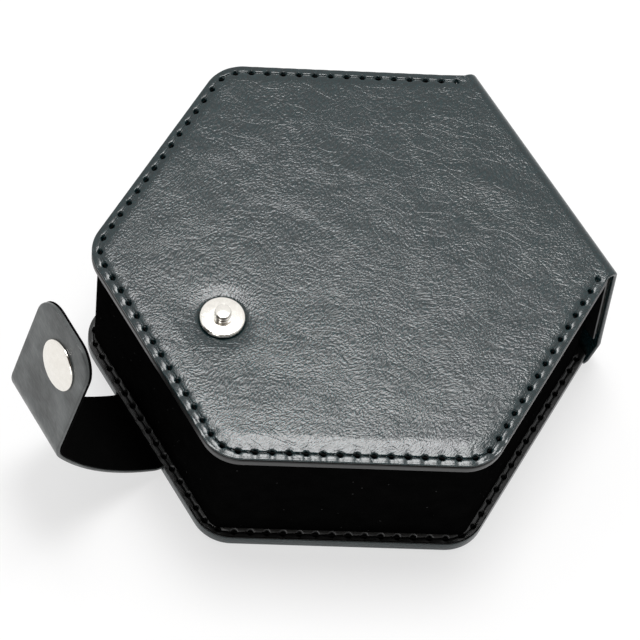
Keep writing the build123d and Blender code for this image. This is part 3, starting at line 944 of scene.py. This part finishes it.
def perforated_plate(name, inset, low, high, lip, material, segments=72):
    """A plate with seven wells through it, whose upper lips are rounded by lip."""
    plan = list(hexagon_path(inset, INSERT_CORNER, None, run_steps=12, arc_steps=6))
    outline = list(range(len(plan)))
    edges = list(zip(outline, outline[1:] + outline[:1]))
    wells = []
    for centre in WELL_PLACES:
        rim = add_ring(plan, circle(centre, WELL_RADIUS + lip, segments))
        edges.extend(zip(rim, rim[1:] + rim[:1]))
        wells.append(rim)
    flat, _, cells, origin, _, _ = delaunay_2d_cdt([Vector(p) for p in plan], edges, [], 0, 1e-5)
    number = {old: new for new, olds in enumerate(origin) for old in olds}

    def beside_wells(cell):
        middle = sum((flat[i] for i in cell), Vector((0, 0))) / len(cell)
        return all((middle - Vector(centre)).length > WELL_RADIUS for centre in WELL_PLACES)

    kept = [tuple(cell) for cell in cells if beside_wells(cell)]
    points = at_height(flat, high) + at_height(flat, low)
    under = len(flat)
    levels = [
        (WELL_RADIUS + lip - lip * math.sin(a), high - lip + lip * math.cos(a))
        for a in (np.linspace(0, math.pi / 2, 5)[1:] if lip else [])
    ]
    faces = list(kept)
    for centre, well in zip(WELL_PLACES, wells):
        rings = [[number[i] for i in well]]
        for radius, height in levels + [(WELL_RADIUS, low)]:
            rings.append(add_ring(points, at_height(circle(centre, radius, segments), height)))
        for above, below in zip(rings[0], rings[-1]):
            points[under + above] = points[below]
        faces += grid_faces(rings, closed=True)
    faces += [tuple(under + i for i in cell[::-1]) for cell in kept]
    rim = [number[i] for i in outline]
    faces += grid_faces([rim, [under + i for i in rim]], closed=True)
    return smooth_by_angle(face_outwards(mesh_object(name, points, faces, material)))


# Strap


def strap_place(length_along):
    """The point (y, z) of the strap's middle line at a length along it."""
    out, up = STRAP_START
    heading, left = 0.0, length_along
    for run, turn in STRAP_RUNS:
        part = min(left, run)
        if turn:
            radius = run / math.radians(turn)
            turned = part / radius
            out += radius * (math.sin(heading + turned) - math.sin(heading))
            up -= radius * (math.cos(heading + turned) - math.cos(heading))
            heading += turned
        else:
            out += part * math.cos(heading)
            up += part * math.sin(heading)
        left -= part
        if left <= 0:
            break
    return Vector((-out, up))


def strap_lengths(low, high, spacing=0.5):
    """Lengths along the strap, evenly from one to another."""
    return np.linspace(low, high, max(2, int((high - low) / spacing) + 1))


def tip_lengths(low, high):
    """Lengths along the strap to its end, close together round the corners of its tip."""
    corners = high - STRAP_TIP_RADIUS * (1 - np.sin(np.linspace(0, math.pi / 2, 12)[1:]))
    return np.concatenate([strap_lengths(low, high - STRAP_TIP_RADIUS), corners])


# Stitches


def stitch_nodes():
    """Geometry Nodes that lay one bent stitch at each point along a curve."""
    tree = bpy.data.node_groups.new("stitches_along_line", "GeometryNodeTree")
    tree.interface.new_socket("Geometry", in_out="INPUT", socket_type="NodeSocketGeometry")
    for name in ("Pitch", "Length", "Thread", "Rise", "Slant"):
        tree.interface.new_socket(name, in_out="INPUT", socket_type="NodeSocketFloat")
    tree.interface.new_socket("Material", in_out="INPUT", socket_type="NodeSocketMaterial")
    tree.interface.new_socket("Geometry", in_out="OUTPUT", socket_type="NodeSocketGeometry")
    given = node(tree, "NodeGroupInput").outputs
    inputs = {"Curve": given["Geometry"], "Length": given["Pitch"]}
    places = node(tree, "GeometryNodeCurveToPoints", inputs, mode="LENGTH").outputs
    end = node(tree, "ShaderNodeMath", {0: given["Length"], 1: 0.5}, operation="MULTIPLY")
    start = node(tree, "ShaderNodeMath", {0: end, 1: -1.0}, operation="MULTIPLY")
    inputs = {
        "Resolution": 8,
        "Start": node(tree, "ShaderNodeCombineXYZ", {"Z": start}),
        "Middle": node(tree, "ShaderNodeCombineXYZ", {"Y": given["Rise"]}),
        "End": node(tree, "ShaderNodeCombineXYZ", {"Z": end}),
    }
    bow = node(tree, "GeometryNodeCurveQuadraticBezier", inputs)
    radius = node(tree, "ShaderNodeMath", {0: given["Thread"], 1: 0.5}, operation="MULTIPLY")
    inputs = {"Resolution": 8, "Radius": radius}
    section = node(tree, "GeometryNodeCurvePrimitiveCircle", inputs, mode="RADIUS")
    inputs = {"Curve": bow, "Profile Curve": section, "Fill Caps": True}
    stitch = node(tree, "GeometryNodeCurveToMesh", inputs)
    # Sockets 2, 3 and the output 1 are the ones for plain numbers
    inputs = {2: -0.05, 3: 0.05, "Seed": 7}
    wobble = node(tree, "FunctionNodeRandomValue", inputs, data_type="FLOAT").outputs[1]
    tilt = node(tree, "ShaderNodeMath", {0: given["Slant"], 1: wobble}, operation="ADD")
    lean = node(tree, "FunctionNodeEulerToRotation", {0: node(tree, "ShaderNodeCombineXYZ", {"Y": tilt})})
    inputs = {0: places["Rotation"], 1: lean}
    turned = node(tree, "FunctionNodeRotateRotation", inputs, rotation_space="LOCAL")
    inputs = {"Points": places["Points"], "Instance": stitch, "Rotation": turned}
    laid = node(tree, "GeometryNodeInstanceOnPoints", inputs)
    real = node(tree, "GeometryNodeRealizeInstances", {0: laid})
    finished = node(tree, "GeometryNodeSetMaterial", {"Geometry": real, "Material": given["Material"]})
    smooth = node(tree, "GeometryNodeSetShadeSmooth", {"Geometry": finished})
    node(tree, "NodeGroupOutput", {0: smooth})
    return tree


def stitched_thread(name, route, tree, values):
    """One run of stitches whose middles are the points of route."""
    curve = bpy.data.curves.new(name, "CURVE")
    curve.dimensions = "3D"
    spline = curve.splines.new("POLY")
    spline.points.add(len(route) - 1)
    for point, place in zip(spline.points, route):
        point.co = (*(c * MM for c in place), 1.0)
    holder = linked(bpy.data.objects.new(name + "_line", curve))
    modifier = holder.modifiers.new("stitches", "NODES")
    modifier.node_group = tree
    sockets = {item.name: item.identifier for item in tree.interface.items_tree if item.in_out == "INPUT"}
    for socket, value in values.items():
        modifier[sockets[socket]] = value
    evaluated = holder.evaluated_get(bpy.context.evaluated_depsgraph_get())
    mesh = bpy.data.meshes.new_from_object(evaluated)
    bpy.data.objects.remove(holder)
    return linked(bpy.data.objects.new(name, mesh))


# Operators


class DICEBOX_OT_stage(bpy.types.Operator):
    """Camera, lamps, world and floor"""

    bl_idname = "dicebox.stage"
    bl_label = "Stage"

    def execute(self, context):
        stage = context.scene.dice_box_stage
        self.camera(context, stage)
        self.lamp("key_softbox", stage.key_power, *KEY_LAMP)
        self.lamp("front_fill", stage.fill_power, *FILL_LAMP)
        self.world(context, stage)
        self.floor()
        context.scene.view_settings.view_transform = "Standard"
        return {"FINISHED"}

    def camera(self, context, stage):
        """The camera, at its distance from the target in the direction of azimuth and elevation."""
        level = math.cos(stage.elevation)
        back = Vector(
            (math.sin(stage.azimuth) * level, -math.cos(stage.azimuth) * level, math.sin(stage.elevation))
        )
        right = (-back).cross(Vector((0, 0, 1))).normalized()
        up = right.cross(-back)
        across = right * math.cos(stage.roll) + up * math.sin(stage.roll)
        upright = up * math.cos(stage.roll) - right * math.sin(stage.roll)
        data = bpy.data.cameras.new("camera")
        data.sensor_width = CAMERA_SENSOR
        data.lens = stage.lens
        data.shift_x, data.shift_y = CAMERA_SHIFT
        data.clip_start, data.clip_end = CAMERA_NEAR * MM, CAMERA_FAR * MM
        camera = linked(bpy.data.objects.new("camera", data))
        place = Vector(CAMERA_TARGET) * MM + back * stage.distance
        turned = Matrix((across, upright, back)).transposed().to_4x4()
        camera.matrix_world = Matrix.Translation(place) @ turned
        context.scene.camera = camera

    def lamp(self, name, watts, aim, distance, size):
        """A square softbox that stands in the direction aim from the lid."""
        data = bpy.data.lights.new(name, "AREA")
        data.shape = "SQUARE"
        data.size = size * MM
        data.energy = watts
        holder = linked(bpy.data.objects.new(name, data))
        away = Vector(aim).normalized()
        holder.location = (Vector(LAMP_CENTRE) + away * distance) * MM
        holder.rotation_mode = "QUATERNION"
        holder.rotation_quaternion = away.to_track_quat("Z", "Y")

    def world(self, context, stage):
        """White all round for the camera, and dark on one side for what the object mirrors."""
        world = bpy.data.worlds.new("studio")
        context.scene.world = world
        world.use_nodes = True
        tree = world.node_tree
        rays = node(tree, "ShaderNodeLightPath").outputs
        inputs = {0: rays["Is Camera Ray"], 1: rays["Is Transmission Ray"]}
        seen = node(tree, "ShaderNodeMath", inputs, operation="MAXIMUM")
        unseen = spread(tree, seen, 0.0, 1.0, 1.0, 0.0)
        strength = spread(tree, seen, 0.0, 1.0, stage.world_strength, 1.0)
        way = node(tree, "ShaderNodeTexCoord").outputs["Generated"]
        towards = node(tree, "ShaderNodeVectorMath", {0: way, 1: DARK_SIDE}, operation="DOT_PRODUCT")
        dark = spread(tree, towards.outputs["Value"], *DARK_EDGE)
        share = node(tree, "ShaderNodeMath", {0: dark, 1: unseen}, operation="MULTIPLY")
        light = mixed(tree, share, linear("ffffff"), linear(DARK_COLOUR))
        connect(tree, tree.nodes["Background"], {"Color": light, "Strength": strength})

    def floor(self):
        """Seamless paper, which shows white and still takes the object's shadow."""
        material = bpy.data.materials.new("seamless_paper")
        material.use_nodes = True
        tree = material.node_tree
        tree.nodes.clear()
        rays = node(tree, "ShaderNodeLightPath").outputs
        seen = rays["Is Camera Ray"]
        for other in (rays["Is Glossy Ray"], rays["Is Transmission Ray"]):
            seen = node(tree, "ShaderNodeMath", {0: seen, 1: other}, operation="MAXIMUM").outputs[0]
        share = spread(tree, seen, 0.0, 1.0, 0.0, FLOOR_GLOW)
        paper = node(tree, "ShaderNodeBsdfDiffuse", {"Color": (*PAPER_WHITE, 1.0)})
        glow = node(tree, "ShaderNodeEmission", {"Color": (1.0, 1.0, 1.0, 1.0), "Strength": 1.0})
        both = node(tree, "ShaderNodeMixShader", {0: share, 1: paper, 2: glow})
        node(tree, "ShaderNodeOutputMaterial", {"Surface": both})
        corners = [(x * FLOOR_HALF, y * FLOOR_HALF, 0.0) for x, y in ((-1, -1), (1, -1), (1, 1), (-1, 1))]
        mesh_object("floor", corners, [(0, 1, 2, 3)], material)


class DICEBOX_OT_lid_cover(bpy.types.Operator):
    """Cover leather over the lid, its fold and the spine"""

    bl_idname = "dicebox.lid_cover"
    bl_label = "Lid cover"

    def execute(self, context):
        stitches = StitchLine(context.scene.dice_box_sizes.lid_stitch_inset / MM, LID_BACK)
        grid = stitched_sheet(LID_SEAM, LID_TOP, stitches, LID_BAND, LID_ROLL)
        points, faces, loop = sheet_mesh(grid, STUD_PLACE)
        sweep(points, faces, loop, spine_frames())
        piece = face_outwards(mesh_object("cover_upper", points, faces, finish(cover_leather)))
        crisp_end(piece, SPINE_FOOT)
        mark_pressed(piece, stitches.inset, LID_ROLL)
        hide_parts("lid_cover", "lid_fold", "spine_leather")
        at(LID_PIVOT[0], LID_TOP)
        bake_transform(piece)
        return {"FINISHED"}


class DICEBOX_OT_lid_lining(bpy.types.Operator):
    """Second layer of the lid, turned up round its board"""

    bl_idname = "dicebox.lid_lining"
    bl_label = "Lid lining"

    def execute(self, context):
        # Its upper edge stands back under the top leather, which leaves the dark groove
        edge = ((0.7, 0.0), (0.7, 0.3), (0.4, 0.34), (0.12, 0.46), (0.0, 0.7), (0.0, 0.9))
        rows = [(inset, LID_SEAM - depth) for inset, depth in edge] + turned_under(LID_BOTTOM)
        piece = tray("lid_lining_turned", rows, LID_BACK, LID_LINING_THICK, finish(lining_leather))
        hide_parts("lid_lining")
        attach(piece, "lid")
        return {"FINISHED"}


class DICEBOX_OT_base(bpy.types.Operator):
    """Cover leather under the base, with the strap's slot, and its fold at the spine's foot"""

    bl_idname = "dicebox.base"
    bl_label = "Base cover"

    def execute(self, context):
        slot_low = BASE_SEAM - STRAP_THICK
        slot_half = STRAP_WIDTH / 2 + 0.3

        def outside_slot(middle):
            x, y, z = middle
            return y > -APOTHEM + 0.1 or abs(x - STRAP_OFFSET) > slot_half or z < slot_low

        rows = [(0.0, BASE_SEAM), (0.0, slot_low), (0.0, EDGE_BEND + 0.2)] + turned_under(0.0)
        piece = tray("cover_lower", rows, BASE_BACK, COVER_THICK, finish(cover_leather), outside_slot)
        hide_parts("base_cover")
        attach(piece, "case")
        fold = self.spine_fold()
        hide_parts("base_fold")
        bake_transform(fold)
        return {"FINISHED"}

    def spine_fold(self):
        """The leather from the spine's foot to the way under the base."""
        half = COVER_THICK / 2
        top = Vector(fold_place(SPINE_LEAN, FOLD_RADIUS - half))
        down = Vector((math.sin(SPINE_LEAN), -math.cos(SPINE_LEAN)))
        foot = top + down * (top.y - SPINE_FOOT) / math.cos(SPINE_LEAN)
        corners = [foot, foot + down * SPINE_KNEE, Vector((APOTHEM, half)), Vector((BASE_BACK, half))]
        section = rounded_rectangle(SPINE_HALF_WIDTH, -half, half, 0.36, 40)
        points, faces = swept_strip(rounded_line(corners, (2.0, 1.0)), section)
        piece = face_outwards(mesh_object("cover_spine_foot", points, faces, finish(cover_leather)))
        return smooth_by_angle(piece, 60)


class DICEBOX_OT_base_lining(bpy.types.Operator):
    """Stitched top layer of the base, the ledge round the wall"""

    bl_idname = "dicebox.base_lining"
    bl_label = "Base lining"

    def execute(self, context):
        stitches = StitchLine(context.scene.dice_box_sizes.base_stitch_inset / MM, BASE_BACK)
        grid = stitched_sheet(BASE_SEAM, BASE_TOP, stitches, BASE_BAND, BASE_ROLL)
        points, faces, loop = sheet_mesh(grid)
        faces.append(tuple(loop))
        piece = face_outwards(mesh_object("base_ledge", points, faces, finish(lining_leather)))
        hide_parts("base_lining")
        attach(piece, "case")
        return {"FINISHED"}


class DICEBOX_OT_wall(bpy.types.Operator):
    """Velvet wrap of the wall, turned over its top"""

    bl_idname = "dicebox.wall"
    bl_label = "Velvet wall"

    def execute(self, context):
        turn = [
            (WALL_TURN * (1 - math.cos(a)), WALL_TURN * (1 - math.sin(a)))
            for a in np.linspace(0, math.pi / 2, 5)
        ]
        rows = [(WALL_OUTER, BASE_TOP), (WALL_OUTER, BASE_TOP + 8), (WALL_OUTER, BASE_TOP + 20)]
        rows += [(WALL_OUTER + rising, WALL_TOP - falling) for rising, falling in turn]
        rows += [(WALL_INNER - falling, WALL_TOP - rising) for rising, falling in turn]
        rows += [(WALL_INNER, BASE_TOP + 20), (WALL_INNER, BASE_TOP)]
        points, rings = outline_rings(
            rows, lambda inset: WALL_CORNER - (inset - WALL_OUTER) * 0.58, run_steps=40
        )
        piece = mesh_object("wall_velvet_wrap", points, grid_faces(rings, closed=True), finish(velvet))
        face_to(piece, lambda face: face.calc_center_median().x, Vector((1, 0, 0)))
        shell = piece.modifiers.new("thickness", "SOLIDIFY")
        shell.thickness = VELVET_THICK * MM
        shell.offset = -1.0
        bake_modifiers(piece)
        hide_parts("wall_velvet")
        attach(piece, "case")
        return {"FINISHED"}


class DICEBOX_OT_insert(bpy.types.Operator):
    """Foam floor and block of the insert, and its velvet face with seven wells"""

    bl_idname = "dicebox.insert"
    bl_label = "Insert"

    def execute(self, context):
        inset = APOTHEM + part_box("insert_block")[0].y / MM
        for name, cad, lip, make, slot in (
            ("insert_foam_wells", "insert_block", 0.0, foam, "foam"),
            ("insert_velvet_face", "insert_cover", WELL_LIP, velvet, "velvet"),
        ):
            low, high = (corner.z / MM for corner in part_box(cad))
            piece = perforated_plate(name, inset, low, high, lip, finish(make))
            self.seat(piece, cad, slot)
        low, high = (corner.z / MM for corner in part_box("insert_base"))
        rows = [(inset, low), (inset, high - 0.3), (inset + 0.3, high)]
        floor = closed_rows("insert_foam_floor", rows, lambda i: INSERT_CORNER, finish(foam))
        self.seat(smooth_by_angle(floor), "insert_base", "foam")
        return {"FINISHED"}

    def seat(self, piece, cad, slot):
        """Puts a piece of the insert in the place of its CAD node."""
        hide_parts(cad)
        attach(piece, "case")


class DICEBOX_OT_pad(bpy.types.Operator):
    """Velvet pad inside the lid, with rolled sides and a crowned face"""

    bl_idname = "dicebox.pad"
    bl_label = "Lid pad"

    def execute(self, context):
        low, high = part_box("lid_pad_velvet")
        inset = APOTHEM + low.y / MM
        bottom = low.z / MM
        rows = [(inset + 0.3, high.z / MM)]
        rows += [
            (inset + PAD_ROLL * (1 - math.cos(a)), bottom + PAD_CROWN + PAD_ROLL * (1 - math.sin(a)))
            for a in np.linspace(0, math.pi / 2, 8)
        ]
        rows += [
            (inset + PAD_ROLL + reach, bottom + PAD_CROWN * math.exp(-reach / 5.0))
            for reach in (1, 2, 3.5, 5, 7.5, 10, 14, 20, 28, 34)
        ]
        piece = closed_rows("lid_pad", rows, lambda i: max(1.85 - 0.05 * (i - inset), 0.4), finish(velvet))
        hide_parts("lid_pad_velvet", "lid_pad_foam")
        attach(piece, "lid")
        return {"FINISHED"}


class DICEBOX_OT_strap(bpy.types.Operator):
    """Strap: leather outside and suede inside, each in two pieces along its bent line"""

    bl_idname = "dicebox.strap"
    bl_label = "Strap"

    def execute(self, context):
        full = sum(run for run, _ in STRAP_RUNS)
        half = STRAP_THICK / 2
        layers = (
            ("leather", STRAP_LINING - half, half, strap_leather, "cover_leather", 0.34),
            ("lining", -half, STRAP_LINING - half, suede, "suede", 0.2),
        )
        root = strap_lengths(0.0, STRAP_SEAM + STRAP_LAP)
        end = tip_lengths(STRAP_SEAM, full)
        stretches = (
            ("root", root, ("tab", "root_bend", "lower"), ("case", "strap_lower"), ROOT_BEND),
            ("end", end, ("crease", "tip"), ("strap_lower", "strap_tip"), CREASE_BEND),
        )
        for layer, low, high, make, slot, rounding in layers:
            section = rounded_rectangle(STRAP_WIDTH / 2, low, high, rounding, 24)
            for stretch, lengths, nodes, bodies, bend in stretches:
                short = np.maximum(STRAP_TIP_RADIUS - (full - lengths), 0.0)
                narrowing = STRAP_TIP_RADIUS - np.sqrt(np.maximum(STRAP_TIP_RADIUS**2 - short**2, 0.0))
                line = [strap_place(length_along) for length_along in lengths]
                points, faces = swept_strip(line, section, STRAP_OFFSET, narrowing)
                piece = face_outwards(mesh_object(f"strap_{layer}_{stretch}", points, faces, finish(make)))
                smooth_by_angle(piece, 60)
                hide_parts(*(f"strap_{name}_{layer}" for name in nodes))
                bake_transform(piece)
        return {"FINISHED"}


class DICEBOX_OT_snap(bpy.types.Operator):
    """Snap fastener: cap and socket on the strap, stud on the lid"""

    bl_idname = "dicebox.snap"
    bl_label = "Snap fastener"

    def execute(self, context):
        on_strap = SNAP_PLACE, (0.0, -math.sin(SNAP_HEADING), -math.cos(SNAP_HEADING))
        on_lid = (*STUD_PLACE, LID_TOP), (0.0, 0.0, 1.0)
        for name, profile, (origin, axis), cad, body in (
            ("cap_domed", self.cap(), on_strap, "snap_cap", "strap_tip"),
            ("socket_pressed", self.socket(), on_strap, "snap_socket", "strap_tip"),
            ("stud_pressed", self.stud(), on_lid, "snap_stud", "lid"),
        ):
            points, faces = lathe(profile)
            piece = mesh_object(name, placed(points, origin, axis), faces, finish(nickel))
            smooth_by_angle(face_outwards(piece), 45)
            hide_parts(cad)
            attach(piece, body)
        return {"FINISHED"}

    def cap(self):
        """(radius, height) of the cap: a dome with a rolled rim, and its rivet through the strap."""
        back = STRAP_THICK / 2
        dome = [
            (r, back + 0.62 + 0.63 * (1 - (r / 5.8) ** 2)) for r in (0, 0.8, 1.8, 2.8, 3.8, 4.6, 5.2, 5.6)
        ]
        rim = ((5.86, 0.56), (5.95, 0.42), (6.0, 0.25), (5.96, 0.1), (5.85, 0.0), (2.6, 0.0))
        rivet = [(2.6, -back - 0.4), (3.2, -back - 0.7), (2.3, -back - 0.7)]
        bore = [(2.3, back + 0.3), (0, back + 0.3)]
        return dome + [(r, back + height) for r, height in rim] + rivet + bore

    def socket(self):
        """(radius, height) of the socket: a hollow ring round the hole that the stud enters."""
        outside = ((2.65, 0.0), (5.3, 0.0), (5.45, 0.1), (5.5, 0.3), (5.5, 1.5), (5.4, 1.75), (5.15, 1.85))
        mouth = ((3.0, 1.85), (2.6, 1.8), (2.35, 1.62), (2.35, 1.45))
        inside = ((5.1, 1.45), (5.1, 0.4), (2.65, 0.4), (2.65, 0.0))
        return [(r, -STRAP_THICK / 2 - depth) for r, depth in outside + mouth + inside]

    def stud(self):
        """(radius, height) of the stud: a flat head, the ring that the springs catch, neck and flange."""
        head = [(0, 2.9), (1.6, 2.89), (1.74, 2.84), (1.8, 2.74), (1.82, 2.64), (1.82, 2.58), (1.82, 2.2)]
        ring = [(1.82, 2.14), (1.86, 2.06), (1.96, 2.02), (2.02, 1.92), (1.96, 1.8), (1.84, 1.76)]
        neck = [(1.78, 1.68), (1.78, 1.6), (1.78, 0.84), (1.78, 0.76), (1.81, 0.67), (1.9, 0.61), (2.1, 0.6)]
        flange = [(2.3, 0.6), (4.75, 0.6), (4.98, 0.56), (5.14, 0.46), (5.22, 0.3), (5.24, 0.0)]
        under = [(5.22, -0.3), (5.1, -0.4), (1.25, -0.4), (1.25, 2.4), (0, 2.4)]
        return head + ring + neck + flange + under


class DICEBOX_OT_stitching(bpy.types.Operator):
    """Thread of the stitching on the lid and the base"""

    bl_idname = "dicebox.stitching"
    bl_label = "Stitching"

    def execute(self, context):
        sizes = context.scene.dice_box_sizes
        tree = stitch_nodes()
        for name, inset, back, top, body in (
            ("lid_thread", sizes.lid_stitch_inset / MM, LID_BACK, LID_TOP, "lid"),
            ("base_thread", sizes.base_stitch_inset / MM, BASE_BACK, BASE_TOP, "case"),
        ):
            stitches = StitchLine(inset, back)
            middles = (stitches.holes[:-1] + stitches.holes[1:]) / 2
            x, y = (np.interp(middles, stitches.along, stitches.points[:, axis]) for axis in (0, 1))
            values = {
                "Pitch": stitches.spacing * MM,
                "Length": (stitches.spacing - STITCH_GAP) * MM,
                "Thread": sizes.thread_diameter,
                "Rise": STITCH_BOW * MM,
                "Slant": STITCH_SLANT,
                "Material": finish(waxed_thread),
            }
            piece = stitched_thread(name, at_height(zip(x, y), top - THREAD_DEPTH), tree, values)
            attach(piece, body)
        return {"FINISHED"}


class DICEBOX_OT_boards(bpy.types.Operator):
    """Finishes the CAD nodes that stay in sight: boards, spine lining, eyelet and springs"""

    bl_idname = "dicebox.boards"
    bl_label = "Boards"

    def execute(self, context):
        for name, cad in frame["nodes"].items():
            if not cad.hide_render:
                cad.data.materials.clear()
                cad.data.materials.append(finish(CAD_FINISHES[name]))
        return {"FINISHED"}


class DICEBOX_PT_panel(bpy.types.Panel):
    """Lists the operators of the dice box"""

    bl_idname = "DICEBOX_PT_panel"
    bl_label = "Dice Box"
    bl_space_type = "VIEW_3D"
    bl_region_type = "UI"
    bl_category = "Dice Box"

    def draw(self, context):
        for operator in OPERATORS:
            self.layout.operator(operator.bl_idname)


GROUPS = (DiceBoxSizes, DiceBoxColours, DiceBoxStage)
OPERATORS = (
    DICEBOX_OT_stage,
    DICEBOX_OT_lid_cover,
    DICEBOX_OT_lid_lining,
    DICEBOX_OT_base,
    DICEBOX_OT_base_lining,
    DICEBOX_OT_wall,
    DICEBOX_OT_insert,
    DICEBOX_OT_pad,
    DICEBOX_OT_strap,
    DICEBOX_OT_snap,
    DICEBOX_OT_stitching,
    DICEBOX_OT_boards,
)


def register():
    for part in GROUPS + OPERATORS + (DICEBOX_PT_panel,):
        bpy.utils.register_class(part)
    bpy.types.Scene.dice_box_sizes = bpy.props.PointerProperty(type=DiceBoxSizes)
    bpy.types.Scene.dice_box_colours = bpy.props.PointerProperty(type=DiceBoxColours)
    bpy.types.Scene.dice_box_stage = bpy.props.PointerProperty(type=DiceBoxStage)


def unregister():
    del bpy.types.Scene.dice_box_stage
    del bpy.types.Scene.dice_box_colours
    del bpy.types.Scene.dice_box_sizes
    for part in reversed(GROUPS + OPERATORS + (DICEBOX_PT_panel,)):
        bpy.utils.unregister_class(part)


def main():
    register()
    for operator in OPERATORS:
        group, name = operator.bl_idname.split(".")
        getattr(getattr(bpy.ops, group), name)()


if __name__ == "__main__":
    main()
